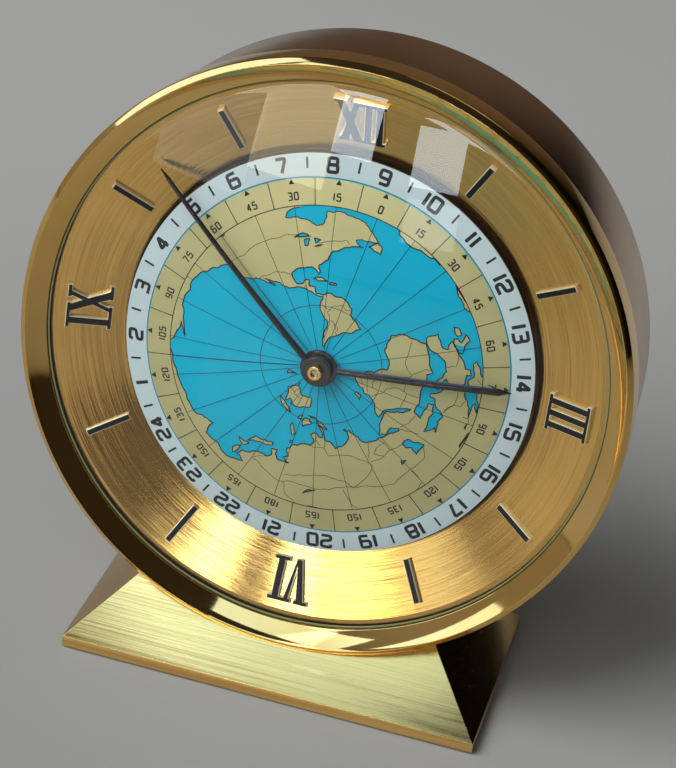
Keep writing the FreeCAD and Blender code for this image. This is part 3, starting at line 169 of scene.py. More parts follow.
class Paint:
    """A node tree under construction, for a material or the world."""

    def __init__(self, tree: bpy.types.NodeTree) -> None:
        """Start from an empty tree."""
        self.tree = tree
        tree.nodes.clear()

    def node(self, kind: str, settings: dict[str, Any], inputs: dict[Any, Any],
             out: str | int = 0) -> Val:
        """Add any node.

        Args:
            kind: The node's type.
            settings: Its properties, set first.
            inputs: Values or sockets by the input's name or place.
            out: The output that is wanted.

        Returns:
            The output's socket.
        """
        node = self.tree.nodes.new(kind)
        for key, value in settings.items():
            setattr(node, key, value)
        for key, value in inputs.items():
            socket = node.inputs[key]
            if isinstance(value, Val):
                self.tree.links.new(value.socket, socket)
            else:
                socket.default_value = value
        return Val(self, node.outputs[out])

    def vector(self, operation: str, *values: Any, out: str = "Vector") -> Val:
        """Add a Vector Math node."""
        inputs = dict(enumerate(values))
        if operation == "SCALE":
            inputs = {0: values[0], "Scale": values[1]}
        return self.node("ShaderNodeVectorMath", {"operation": operation}, inputs, out)

    def parts(self, vector: Val) -> tuple[Val, Val, Val]:
        """Split a vector in its three numbers."""
        first = self.node("ShaderNodeSeparateXYZ", {}, {0: vector})
        outputs = first.socket.node.outputs
        return Val(self, outputs[0]), Val(self, outputs[1]), Val(self, outputs[2])

    def join(self, x: Any, y: Any, z: Any) -> Val:
        """Make a vector of three numbers."""
        return self.node("ShaderNodeCombineXYZ", {}, {0: x, 1: y, 2: z})

    def noise(self, vector: Val, scale: float, detail: float = 2.0,
              roughness: float = 0.5) -> Val:
        """Noise value about one half."""
        inputs = {"Vector": vector, "Scale": scale, "Detail": detail, "Roughness": roughness}
        return self.node("ShaderNodeTexNoise", {"normalize": True}, inputs, "Fac")

    def mix(self, share: Any, first: Any, second: Any) -> Val:
        """Mix two colours."""
        node = self.tree.nodes.new("ShaderNodeMix")
        node.data_type = "RGBA"
        for socket, value in ((node.inputs[0], share), (node.inputs[6], first),
                              (node.inputs[7], second)):
            if isinstance(value, Val):
                self.tree.links.new(value.socket, socket)
            elif isinstance(value, tuple):
                socket.default_value = (*value[:3], 1.0)
            else:
                socket.default_value = value
        return Val(self, node.outputs[2])

    def row_place(self) -> Val:
        """Object coordinates, in metres."""
        return self.node("ShaderNodeTexCoord", {}, {}, "Object")

    def clock_place(self) -> Val:
        """Object coordinates in the clock's own frame, in millimetres."""
        inputs = {"Vector": self.row_place(), "Location": CLOCK_AT,
                  "Rotation": (CLOCK_TURN, 0.0, 0.0), "Scale": (MM, MM, MM)}
        return self.node("ShaderNodeMapping", {"vector_type": "TEXTURE"}, inputs)

    def lean(self, vector: Val) -> Val:
        """Turn a direction of the clock's frame into the object's frame, then the world's."""
        turned = self.node("ShaderNodeMapping", {"vector_type": "VECTOR"},
                           {"Vector": vector, "Rotation": (CLOCK_TURN, 0.0, 0.0)})
        return self.to_world(turned)

    def to_world(self, vector: Val) -> Val:
        """Turn a direction of the object's frame into the world's."""
        settings = {"vector_type": "VECTOR", "convert_from": "OBJECT", "convert_to": "WORLD"}
        return self.node("ShaderNodeVectorTransform", settings, {"Vector": vector})

    def tilted(self, sideways: Val, amount: Val) -> Val:
        """The surface normal, tilted along a world direction by an amount."""
        normal = self.node("ShaderNodeNewGeometry", {}, {}, "Normal")
        moved = self.vector("ADD", normal, self.vector("SCALE", sideways, amount))
        return self.vector("NORMALIZE", moved)

    def bump(self, height: Val, depth_mm: float, strength: float) -> Val:
        """Add a Bump node that feeds the normal."""
        inputs = {"Height": height, "Distance": depth_mm * MM, "Strength": strength}
        return self.node("ShaderNodeBump", {}, inputs)


@dataclass(frozen=True)
class Finish:
    """One finish of the clock; its fields are the shader's plain numbers."""

    name: str = "finish"
    colour: Colour = (0.8, 0.8, 0.8)
    roughness: float = 0.5
    metallic: float = 0.0

    def made(self) -> bpy.types.Material:
        """Build the material once and return it after that."""
        known = bpy.data.materials.get(self.name)
        if known is not None:
            return known
        material = bpy.data.materials.new(self.name)
        material.use_nodes = True
        paint = Paint(material.node_tree)
        inputs = {"Base Color": (*self.colour, 1.0), "Roughness": self.roughness,
                  "Metallic": self.metallic}
        inputs.update(self.inputs(paint))
        surface = paint.node("ShaderNodeBsdfPrincipled", {}, inputs)
        end = paint.tree.nodes.new("ShaderNodeOutputMaterial")
        paint.tree.links.new(surface.socket, end.inputs["Surface"])
        material.diffuse_color = (*self.colour, 1.0)
        return material

    def inputs(self, paint: Paint) -> dict[str, Any]:
        """Sockets of the principled shader that this finish sets or drives."""
        return {}

    def on(self, piece: bpy.types.Object) -> None:
        """Put the finish in every slot of a piece."""
        material = self.made()
        if not piece.data.materials:
            piece.data.materials.append(material)
        for index in range(len(piece.data.materials)):
            piece.data.materials[index] = material


@dataclass(frozen=True)
class PolishedGold(Finish):
    """Gilt brass, polished: fine swirls, pin specks and a slow tarnish."""

    name: str = "polished_gilt"
    colour: Colour = (0.94, 0.61, 0.21)
    tarnish: Colour = (0.84, 0.49, 0.13)
    roughness: float = 0.03
    metallic: float = 1.0
    speck: float = 0.5

    def inputs(self, paint: Paint) -> dict[str, Any]:
        """Colour, roughness and relief of the polish."""
        place = paint.clock_place()
        slow = paint.noise(place, 0.035, 3.0, 0.6)
        fine = paint.noise(place, 1.7, 4.0, 0.6)
        dust = paint.noise(place, 2.6, 2.0, 0.5).ramp(0.70, 0.76) * self.speck
        colour = paint.mix(slow.ramp(0.35, 0.75), self.colour, self.tarnish)
        worn = paint.mix(dust, colour, (0.42, 0.30, 0.14))
        rough = self.roughness + slow.ramp(0.4, 0.7) * 0.03 + fine * 0.03 + dust * 0.3
        return {"Base Color": worn, "Roughness": rough,
                "Normal": paint.bump(fine, 0.004, strength=0.4)}


@dataclass(frozen=True)
class BrushedGold(Finish):
    """Gilt brass brushed along the row's X, as on the base's slopes."""

    name: str = "brushed_gilt"
    colour: Colour = (0.93, 0.66, 0.23)
    shade: Colour = (0.84, 0.58, 0.18)
    roughness: float = 0.24
    metallic: float = 1.0
    tilt: float = 0.22

    def inputs(self, paint: Paint) -> dict[str, Any]:
        """Grooves that run along X, told by the place across them."""
        place = paint.row_place()
        x, y, z = paint.parts(place)
        across = paint.join(x * 18.0, y * 9000.0, z * 9000.0)
        streak = paint.noise(across, 1.0, 3.0, 0.6)
        wide = paint.noise(paint.join(x * 22.0, y * 1500.0, z * 1500.0), 1.0, 2.0, 0.5)
        mark = paint.noise(paint.join(x * 60.0, y * 700.0, z * 700.0), 1.0, 2.0, 0.5)
        scratch = mark.ramp(0.66, 0.72)
        colour = paint.mix((streak * 0.5 + wide * 0.5).ramp(0.35, 0.65), self.shade, self.colour)
        rough = self.roughness + (wide - 0.5) * 0.22 - scratch * 0.08
        side = paint.to_world(paint.join(0.0, 0.7071, 0.7071))
        amount = (streak - 0.5) * self.tilt + (wide - 0.5) * (self.tilt * 0.35)
        return {"Base Color": colour, "Roughness": rough.clamp(),
                "Normal": paint.tilted(side, amount)}


@dataclass(frozen=True)
class SatinDial(Finish):
    """Gilt dial with circular brushing about its centre."""

    name: str = "satin_dial"
    colour: Colour = (0.86, 0.54, 0.16)
    shade: Colour = (0.74, 0.44, 0.12)
    roughness: float = 0.125
    metallic: float = 1.0
    tilt: float = 0.6
    pitch: float = 20.0

    def inputs(self, paint: Paint) -> dict[str, Any]:
        """Grooves round the axis, told by the radius."""
        place = paint.clock_place()
        x, y, _ = paint.parts(place)
        flat = paint.join(x, y, 0.0)
        radius = paint.vector("LENGTH", flat, out="Value")
        outward = paint.vector("NORMALIZE", flat)
        east, north, _ = paint.parts(outward)
        streak = paint.noise(paint.join(east * 2.6, north * 2.6, radius * self.pitch), 1.0, 2.0,
                             0.6)
        wide = paint.noise(paint.join(east * 1.6, north * 1.6, radius * 5.0), 1.0, 3.0, 0.6)
        colour = paint.mix((streak * 0.25 + wide * 0.75).ramp(0.1, 0.9), self.shade, self.colour)
        rough = self.roughness + (wide - 0.5) * 0.08
        amount = (streak - 0.5) * self.tilt + (wide - 0.5) * (self.tilt * 0.12)
        return {"Base Color": colour, "Roughness": rough,
                "Normal": paint.tilted(paint.lean(outward), amount)}


@dataclass(frozen=True)
class DrumBrass(Finish):
    """Polished side of the case, browner, with marks that run round it."""

    name: str = "drum_bronze"
    colour: Colour = (0.66, 0.47, 0.33)
    shade: Colour = (0.50, 0.32, 0.20)
    roughness: float = 0.16
    metallic: float = 1.0

    def inputs(self, paint: Paint) -> dict[str, Any]:
        """Fine turning lines and a slow change of tone."""
        place = paint.clock_place()
        x, y, z = paint.parts(place)
        outward = paint.vector("NORMALIZE", paint.join(x, y, 0.0))
        east, north, _ = paint.parts(outward)
        lines = paint.noise(paint.join(east * 3.0, north * 3.0, z * 16.0), 1.0, 2.0, 0.6)
        slow = paint.noise(place, 0.03, 3.0, 0.6)
        colour = paint.mix(slow.ramp(0.35, 0.7), self.colour, self.shade)
        axis = paint.lean(paint.join(0.0, 0.0, 1.0))
        rough = self.roughness + slow * 0.08 + (lines - 0.5) * 0.1
        return {"Base Color": colour, "Roughness": rough.clamp(),
                "Normal": paint.tilted(axis, (lines - 0.5) * 0.05)}


@dataclass(frozen=True)
class Enamel(Finish):
    """Black gloss of the hands and marker faces, with faint orange peel."""

    name: str = "black_gloss"
    colour: Colour = (0.006, 0.006, 0.007)
    roughness: float = 0.16
    coat: float = 0.6
    shine: float = 0.5

    def inputs(self, paint: Paint) -> dict[str, Any]:
        """Slight waviness and dust."""
        place = paint.row_place()
        wave = paint.noise(place, 900.0, 2.0, 0.5)
        dust = paint.noise(place, 5200.0, 2.0, 0.5).ramp(0.70, 0.78)
        colour = paint.mix(dust * 0.5, self.colour, (0.10, 0.095, 0.09))
        return {"Base Color": colour, "Roughness": self.roughness + wave * 0.10 + dust * 0.3,
                "Coat Weight": self.coat, "Coat Roughness": 0.05, "Specular IOR Level": self.shine,
                "Normal": paint.bump(wave, 0.01, strength=0.35)}


@dataclass(frozen=True)
class Glass(Finish):
    """Thin clear crystal: a mirror as strong as glass reflects, clear elsewhere."""

    name: str = "clear_crystal"
    colour: Colour = (1.0, 1.0, 1.0)
    roughness: float = 0.015
    metallic: float = 1.0
    strength: float = 1.1

    def inputs(self, paint: Paint) -> dict[str, Any]:
        """Reflection by angle, with faint smears."""
        shine = paint.node("ShaderNodeFresnel", {}, {"IOR": 1.45})
        behind = paint.node("ShaderNodeNewGeometry", {}, {}, "Backfacing")
        smear = paint.noise(paint.clock_place(), 0.12, 4.0, 0.65).ramp(0.55, 0.85)
        return {"Alpha": (shine * (1.0 - behind) * self.strength).clamp(),
                "Roughness": self.roughness + smear * 0.03}


@dataclass(frozen=True)
class PrintedColour(Finish):
    """A printed lacquer colour with fine mottling and a satin coat."""

    name: str = "print"
    second: Colour = (0.5, 0.5, 0.5)
    coat: float = 0.25
    grain: float = 6.0
    shine: float = 0.3

    def inputs(self, paint: Paint) -> dict[str, Any]:
        """Mottled colour and a slight relief."""
        place = paint.clock_place()
        slow = paint.noise(place, 0.06, 3.0, 0.55)
        fine = paint.noise(place, self.grain, 2.0, 0.6)
        share = (slow.ramp(0.3, 0.7) * 0.7 + fine * 0.3).clamp()
        colour = paint.mix(share, self.colour, self.second)
        return {"Base Color": colour, "Roughness": self.roughness + (fine - 0.5) * 0.12,
                "Coat Weight": self.coat, "Coat Roughness": 0.25,
                "Specular IOR Level": self.shine,
                "Normal": paint.bump(fine, 0.004, strength=0.3)}


@dataclass(frozen=True)
class Felt(Finish):
    """Green felt: matted fibres with a soft nap."""

    name: str = "green_felt"
    colour: Colour = (0.030, 0.085, 0.045)
    second: Colour = (0.055, 0.13, 0.07)
    roughness: float = 0.95

    def inputs(self, paint: Paint) -> dict[str, Any]:
        """Fibre colour and relief."""
        place = paint.row_place()
        fibre = paint.noise(place, 2600.0, 4.0, 0.75)
        mat = paint.noise(place, 380.0, 3.0, 0.6)
        colour = paint.mix((fibre * 0.6 + mat * 0.4).ramp(0.3, 0.7), self.colour, self.second)
        return {"Base Color": colour, "Sheen Weight": 0.5, "Sheen Roughness": 0.4,
                "Normal": paint.bump(fibre, 0.12, strength=0.8)}


@dataclass(frozen=True)
class CutMetal(Finish):
    """Worked metal of the movement: grained, with darker stains."""

    name: str = "cut_metal"
    second: Colour = (0.4, 0.4, 0.4)
    metallic: float = 1.0
    roughness: float = 0.3

    def inputs(self, paint: Paint) -> dict[str, Any]:
        """Grain along one way and slow stains."""
        place = paint.clock_place()
        x, y, z = paint.parts(place)
        grain = paint.noise(paint.join(x * 0.6, y * 9.0, z * 4.0), 1.0, 3.0, 0.6)
        slow = paint.noise(place, 0.15, 3.0, 0.6)
        colour = paint.mix((slow * 0.6 + grain * 0.4).ramp(0.35, 0.7), self.colour, self.second)
        return {"Base Color": colour, "Roughness": self.roughness + (grain - 0.5) * 0.25,
                "Normal": paint.bump(grain, 0.01, strength=0.4)}


@dataclass(frozen=True)
class Floor(Finish):
    """Pale floor, painted darker at the front and paler at the back as painted light."""

    name: str = "pale_floor_painted_light"
    # colour is the floor's painted shade at the front, far its painted light at the back
    colour: Colour = (0.30, 0.293, 0.28)
    far: Colour = (0.50, 0.492, 0.475)
    roughness: float = 0.55

    def inputs(self, paint: Paint) -> dict[str, Any]:
        """A barely seen mottling, and painted light: darker at the front, paler towards the back."""
        place = paint.row_place()
        slow = paint.noise(place, 5.0, 3.0, 0.6)
        _, y, _ = paint.parts(place)
        # Painted light: the colour runs along y from the darker front to the paler back
        share = (y.ramp(-0.20, 0.30) * 0.94 + slow * 0.06).clamp()
        colour = paint.mix(share, self.colour, self.far)
        return {"Base Color": colour, "Specular IOR Level": 0.3}


GILT = PolishedGold()
# Gilt painted paler and half matt: a painted highlight on the markers' edges
MARKER_GILT_PAINTED_GLINT = PolishedGold(name="marker_gilt_painted_glint", roughness=0.25, colour=(0.96, 0.84, 0.58),
                           tarnish=(0.90, 0.76, 0.46), metallic=0.45, speck=0.2)
# A darker copy of the polished gilt: painted shade on the base's hips and ends
GILT_SIDE_PAINTED_SHADE = PolishedGold(name="polished_gilt_side_painted_shade", roughness=0.12, colour=(0.64, 0.43, 0.17),
                         tarnish=(0.56, 0.35, 0.12))
BRUSHED = BrushedGold()
LIP_GOLD = BrushedGold(name="brushed_lip", colour=(0.95, 0.62, 0.22), shade=(0.74, 0.42, 0.12),
                       roughness=0.42, tilt=0.1)
DIAL_GOLD = SatinDial()
REAR_GOLD = SatinDial(name="turned_rear", colour=(0.84, 0.66, 0.32), shade=(0.70, 0.50, 0.20),
                      roughness=0.26, tilt=0.3)
DRUM = DrumBrass(colour=(0.63, 0.43, 0.28), shade=(0.48, 0.29, 0.17))
BLACK = Enamel()
BLACK_SATIN = Enamel(name="black_satin", colour=(0.009, 0.008, 0.008), roughness=0.45, coat=0.0,
                     shine=0.22)
CRYSTAL = Glass()
# Painted shadow: a dark olive line for the shade in the gap under the bezel's lip
PAINTED_SHADOW_LINE = PrintedColour(name="crystal_edge", colour=(0.03, 0.032, 0.010),
                           second=(0.05, 0.05, 0.015), roughness=0.35, coat=0.1)
# Painted glint: a pale olive line for the light caught in the crystal's edge
PAINTED_GLINT_LINE = PrintedColour(name="crystal_painted_glint", colour=(0.28, 0.28, 0.10),
                           second=(0.20, 0.20, 0.07), roughness=0.35, coat=0.1)
# Painted shade: the hour ring's walls are painted dark for its shaded edge and the gap under it
RING_WALL_PAINTED_SHADE = PrintedColour(name="ring_wall_painted_shade", colour=(0.16, 0.16, 0.12),
                          second=(0.12, 0.12, 0.09), roughness=0.4, coat=0.1)
OCEAN = PrintedColour(name="ocean_blue", colour=(0.001, 0.46, 0.66), second=(0.001, 0.41, 0.61),
                      roughness=0.5, coat=0.0, shine=0.15)
LAND = PrintedColour(name="land_beige", colour=(0.57, 0.52, 0.25), second=(0.50, 0.46, 0.21),
                     roughness=0.42, coat=0.2, metallic=0.25)
RING_WHITE = PrintedColour(name="ring_white", colour=(0.58, 0.70, 0.71),
                           second=(0.53, 0.65, 0.67), roughness=0.45, coat=0.1)
INK = PrintedColour(name="print_ink", colour=(0.012, 0.012, 0.014), second=(0.02, 0.02, 0.022),
                    roughness=0.4, coat=0.1)
FELT = Felt()
STEEL = CutMetal(name="cut_steel", colour=(0.62, 0.62, 0.63), second=(0.44, 0.44, 0.46),
                 roughness=0.26)
PLATE = CutMetal(name="plate_brass", colour=(0.80, 0.62, 0.30), second=(0.62, 0.45, 0.20),
                 roughness=0.32)
SPRING = CutMetal(name="blued_spring", colour=(0.13, 0.17, 0.30), second=(0.22, 0.22, 0.27),
                  roughness=0.3)

SLOT_FINISH: dict[Slot, Finish] = {
    Slot.BRUSHED_GOLD: REAR_GOLD, Slot.POLISHED_GOLD: GILT, Slot.DRUM_BRASS: DRUM,
    Slot.DIAL_GOLD: DIAL_GOLD, Slot.BLACK_ENAMEL: BLACK, Slot.CRYSTAL_GLASS: CRYSTAL,
    Slot.MAP_PRINT: OCEAN, Slot.RING_PRINT: RING_WHITE, Slot.FELT_GREEN: FELT,
    Slot.STEEL: STEEL, Slot.PLATE_BRASS: PLATE, Slot.SPRING_STEEL: SPRING,
}


# Bench work
class Bench:
    """Modelling steps that every piece shares."""

    @staticmethod
    def clear() -> None:
        """Leave edit mode and deselect everything."""
        if bpy.context.object is not None and bpy.context.object.mode != "OBJECT":
            bpy.ops.object.mode_set(mode="OBJECT")
        bpy.ops.object.select_all(action="DESELECT")

    @staticmethod
    def take(piece: bpy.types.Object) -> None:
        """Make a piece the only selected and active one."""
        Bench.clear()
        piece.select_set(True)
        bpy.context.view_layer.objects.active = piece

    @staticmethod
    @contextmanager
    def edit(piece: bpy.types.Object, pick: Pick = Pick.POINTS) -> Iterator[None]:
        """Work on a piece in edit mode, with all of it selected at first."""
        Bench.take(piece)
        bpy.ops.object.mode_set(mode="EDIT")
        bpy.context.tool_settings.mesh_select_mode = pick.value
        bpy.ops.mesh.select_all(action="SELECT")
        yield
        bpy.ops.object.mode_set(mode="OBJECT")

    @staticmethod
    def choose(piece: bpy.types.Object, test: Callable[[Any], bool]) -> None:
        """Select the faces that pass a test, from within edit mode.

        Args:
            piece: The piece in edit mode.
            test: Says of a face whether it is wanted.
        """
        bpy.ops.mesh.select_all(action="DESELECT")
        bpy.ops.object.mode_set(mode="OBJECT")
        for face in piece.data.polygons:
            face.select = test(face)
        bpy.ops.object.mode_set(mode="EDIT")

    @staticmethod
    def drawn(name: str, runs: Sequence[Sequence[Sequence[float]]], closed: bool,
              line_radius: float = 0.0) -> bpy.types.Object:
        """Draw runs of points as one curve and turn it into a mesh.

        Args:
            name: The piece's name.
            runs: Points of each run, in millimetres.
            closed: Whether each run returns to its start.
            line_radius: Half the line's width; nought leaves a bare line.

        Returns:
            The mesh object.
        """
        curve = bpy.data.curves.new(name, "CURVE")
        curve.dimensions = "3D"
        curve.bevel_depth = line_radius * MM
        curve.bevel_resolution = 0
        curve.use_fill_caps = True
        for run in runs:
            spline = curve.splines.new("POLY")
            spline.points.add(len(run) - 1)
            for point, place in zip(spline.points, run):
                point.co = (place[0] * MM, place[1] * MM, place[2] * MM, 1.0)
            spline.use_cyclic_u = closed
        piece = bpy.data.objects.new(name, curve)
        bpy.context.scene.collection.objects.link(piece)
        Bench.take(piece)
        bpy.ops.object.convert(target="MESH")
        return bpy.context.object

    @staticmethod
    def turned(name: str, profile: Sequence[Point], steps: int) -> bpy.types.Object:
        """Spin a closed profile of radius and height about the Z axis.

        Args:
            name: The piece's name.
            profile: Corners, in millimetres.
            steps: Steps of the full turn.

        Returns:
            The turned piece, in the clock's frame.
        """
        piece = Bench.drawn(name, [[(r, 0.0, z) for r, z in profile]], True)
        with Bench.edit(piece):
            bpy.ops.mesh.spin(steps=steps, angle=math.tau, center=(0, 0, 0), axis=(0, 0, 1))
            bpy.ops.mesh.select_all(action="SELECT")
            bpy.ops.mesh.remove_doubles(threshold=2 * WELD)
            bpy.ops.mesh.dissolve_degenerate(threshold=0.5 * WELD)
            bpy.ops.mesh.select_all(action="SELECT")
            bpy.ops.mesh.normals_make_consistent(inside=False)
        return piece

    @staticmethod
    def modify(piece: bpy.types.Object, kind: str, **settings: Any) -> None:
        """Add one modifier and apply it."""
        Bench.take(piece)
        modifier = piece.modifiers.new(kind.lower(), kind)
        for key, value in settings.items():
            setattr(modifier, key, value)
        bpy.ops.object.modifier_apply(modifier=modifier.name)

    @staticmethod
    def cut(piece: bpy.types.Object, tool: bpy.types.Object) -> None:
        """Cut a piece with a tool and take the tool away."""
        Bench.modify(piece, "BOOLEAN", object=tool, operation="DIFFERENCE", solver="EXACT")
        bpy.data.objects.remove(tool)

    @staticmethod
    def smooth(piece: bpy.types.Object, degrees: float = 30.0) -> None:
        """Shade smooth, but for edges sharper than an angle."""
        Bench.take(piece)
        bpy.ops.object.shade_smooth_by_angle(angle=math.radians(degrees))

    @staticmethod
    def joined(name: str, pieces: Sequence[bpy.types.Object]) -> bpy.types.Object:
        """Join pieces into one mesh."""
        Bench.take(pieces[0])
        for piece in pieces[1:]:
            piece.select_set(True)
        bpy.ops.object.join()
        pieces[0].name = name
        return pieces[0]

    @staticmethod
    def done(piece: bpy.types.Object, body: str, slot: Slot, finish: Finish,
             place: Matrix = LEANING, replaces: Sequence[str] = (),
             degrees: float = 30.0) -> bpy.types.Object:
        """Smooth a piece, put it in its place, dress it and let it ride.

        Args:
            piece: The piece, in its own frame.
            body: The body that it rides on.
            slot: The record's slot that its finish belongs to; not used.
            finish: Its finish, unless its slots are filled already.
            place: Where its frame stands.
            replaces: CAD nodes that it stands for.
            degrees: Edges sharper than this stay sharp.

        Returns:
            The finished piece.
        """
        Bench.smooth(piece, degrees)
        piece.data.transform(place)
        if not piece.data.materials:
            finish.on(piece)
        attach(piece, body)
        if replaces:
            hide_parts(*replaces)
        LOG.info("%s rides on %s, %d faces", piece.name, body, len(piece.data.polygons))
        return piece


def eased(corners: Sequence[tuple[float, float, float]], closed: bool = True,
          steps: int = 4) -> list[Point]:
    """Round the corners of a flat outline.

    Args:
        corners: Places with the length that each corner is eased by.
        closed: Whether the outline returns to its start.
        steps: Steps of each rounding.

    Returns:
        The outline's points.
    """
    points: list[Point] = []
    count = len(corners)
    for index, (x, y, ease) in enumerate(corners):
        at_end = not closed and index in (0, count - 1)
        if ease <= 0.0 or at_end:
            points.append((x, y))
            continue
        here = Vector((x, y))
        before = Vector(corners[index - 1][:2])
        after = Vector(corners[(index + 1) % count][:2])
        first = here + (before - here).normalized() * min(ease, (before - here).length / 2)
        last = here + (after - here).normalized() * min(ease, (after - here).length / 2)
        for step in range(steps + 1):
            t = step / steps
            spot = first * (1 - t) ** 2 + here * 2 * t * (1 - t) + last * t ** 2
            points.append((spot.x, spot.y))
    return points


def on_circle(radius: float, clockwise_deg: float) -> Point:
    """A place on the dial at an angle clockwise from the twelve."""
    angle = math.radians(clockwise_deg)
    return radius * math.sin(angle), radius * math.cos(angle)


# Case
@dataclass
class CaseFront:
    """Bezel ring with its lip, hollow cone band, rim chamfer and skirt."""

    lip_radius: float = 53.05
    lip_front: float = 3.2
    rim_radius: float = 56.35
    rim_front: float = 5.9
    radius: float = 57.45
    edge_front: float = 5.0
    back: float = -1.85
    skirt_chamfer: float = 0.65
    step_radius: float = 55.2
    step_front: float = 1.15
    bore_radius: float = 54.05
    crystal_front: float = 2.85
    band_hollow: float = 0.12
    band_steps: int = 8

    def band(self) -> list[tuple[float, float, float]]:
        """The slightly hollow band from the lip to the rim."""
        rows = []
        for step in range(self.band_steps + 1):
            share = step / self.band_steps
            sink = self.band_hollow * 4 * share * (1 - share)
            ease = 0.12 if step in (0, self.band_steps) else 0.0
            rows.append((self.lip_radius + (self.rim_radius - self.lip_radius) * share
                         + sink * 0.6,
                         self.lip_front + (self.rim_front - self.lip_front) * share - sink * 0.8,
                         ease))
        return rows

    def build(self) -> bpy.types.Object:
        """Turn the bezel."""
        corners = self.band() + [
            (self.radius, self.edge_front, 0.18),
            (self.radius, self.back + self.skirt_chamfer, 0.12),
            (self.radius - self.skirt_chamfer, self.back, 0.1),
            (self.step_radius, self.back, 0.05),
            (self.step_radius, self.step_front, 0.05),
            (self.bore_radius, self.step_front, 0.0),
            (self.bore_radius, self.crystal_front, 0.0),
            (self.lip_radius, self.crystal_front, 0.05),
        ]
        piece = Bench.turned("bezel_ring", eased(corners), 320)
        return Bench.done(piece, "clock_case", Slot.POLISHED_GOLD, GILT, replaces=["bezel"])


@dataclass
class CaseDrum:
    """Side wall of the case, with its spigot, shoulder and rear flange."""

    bore: float = 54.05
    spigot: float = 55.15
    radius: float = 56.05
    spigot_front: float = 1.1
    front: float = -2.15
    back: float = -25.95
    edge: float = 0.4
    cover_front: float = -24.35
    flange_front: float = -22.35
    flange_width: float = 5.6
    dial_back: float = -3.82
    shoulder_width: float = 2.1
    shoulder: float = 1.5

    def build(self) -> bpy.types.Object:
        """Turn the drum."""
        corners = [
            (self.bore, self.spigot_front, 0.0), (self.spigot, self.spigot_front, 0.1),
            (self.spigot, self.front, 0.0), (self.radius, self.front, 0.12),
            (self.radius, self.back + self.edge, 0.1), (self.radius - self.edge, self.back, 0.1),
            (self.bore, self.back, 0.1), (self.bore, self.cover_front, 0.0),
            (self.bore - self.flange_width, self.cover_front, 0.0),
            (self.bore - self.flange_width, self.flange_front, 0.0),
            (self.bore, self.flange_front, 0.0),
            (self.bore, self.dial_back - self.shoulder, 0.0),
            (self.bore - self.shoulder_width, self.dial_back - self.shoulder, 0.0),
            (self.bore - self.shoulder_width, self.dial_back, 0.0),
            (self.bore, self.dial_back, 0.0),
        ]
        piece = Bench.turned("drum_wall", eased(corners), 320)
        return Bench.done(piece, "clock_case", Slot.DRUM_BRASS, DRUM, replaces=["case_drum"])


@dataclass
class Crystal:
    """Domed crystal with its flange, and two tinted lines where the dome starts: a painted shadow
    under the bezel's lip and a painted glint beside it.
    """

    radius: float = 54.0
    dome_radius: float = 52.4
    front: float = 2.846
    back: float = 1.846
    outer_peak: float = 9.8375
    inner_peak: float = 8.2375
    lip_radius: float = 53.05
    edge_width: float = 0.2
    edge_sink: float = 0.04
    edge_depth: float = 0.4
    rows: int = 40

    def cap(self, peak: float, foot: float) -> list[Point]:
        """Profile of a dome from its edge to its peak."""
        rise = peak - foot
        ball = (self.dome_radius ** 2 + rise ** 2) / (2 * rise)
        span = math.asin(self.dome_radius / ball)
        points = []
        for step in range(self.rows + 1):
            angle = span * (1 - step / self.rows)
            points.append((ball * math.sin(angle), peak - ball * (1 - math.cos(angle))))
        return points

    def build(self) -> None:
        """Turn the crystal and the two lines of its edge, a painted glint and a painted shadow."""
        outer = self.cap(self.outer_peak, self.front)
        inner = self.cap(self.inner_peak, self.back)
        profile = outer + inner[::-1] + [(self.radius, self.back), (self.radius, self.front)]
        dome = Bench.turned("crystal_dome", profile, 224)
        Bench.done(dome, "clock_case", Slot.CRYSTAL_GLASS, CRYSTAL, replaces=["crystal"],
                   degrees=20.0)
        split = self.lip_radius - self.edge_width
        top, low = self.front - self.edge_sink, self.front - self.edge_depth
        # The inner line is a painted glint, the outer one a painted shadow by the lip
        for name, near, far, finish in (
                ("crystal_edge_painted_glint", split - self.edge_width, split, PAINTED_GLINT_LINE),
                ("crystal_edge_painted_shadow", split, self.lip_radius, PAINTED_SHADOW_LINE)):
            line = [(near, low), (far, low), (far, top), (near, top)]
            edge = Bench.turned(name, line, 224)
            Bench.done(edge, "clock_case", Slot.CRYSTAL_GLASS, finish)


# Printed discs
@dataclass
class Dome:
    """The map disc's bowed face."""

    radius: float = 34.5
    edge_front: float = -0.6
    ball: float = 170.0
    row_width: float = 0.9
    steps: int = 256

    def front(self, radius: float) -> float:
        """Height of the face at a radius."""
        edge = math.sqrt(self.ball ** 2 - self.radius ** 2)
        return self.edge_front + math.sqrt(self.ball ** 2 - radius ** 2) - edge

    def shell(self, name: str, inner: float, outer: float, lift: float,
              depth: float) -> bpy.types.Object:
        """Turn a shell that follows the face between two radii.

        Args:
            name: The piece's name.
            inner: Inner radius.
            outer: Outer radius.
            lift: Height of the shell's front over the face.
            depth: Thickness of the shell.

        Returns:
            The turned shell.
        """
        rows = max(6, int((outer - inner) / self.row_width))
        radii = [inner + (outer - inner) * step / rows for step in range(rows + 1)]
        top = [(r, self.front(r) + lift) for r in radii]
        bottom = [(r, self.front(r) + lift - depth) for r in reversed(radii)]
        return Bench.turned(name, top + bottom, self.steps)


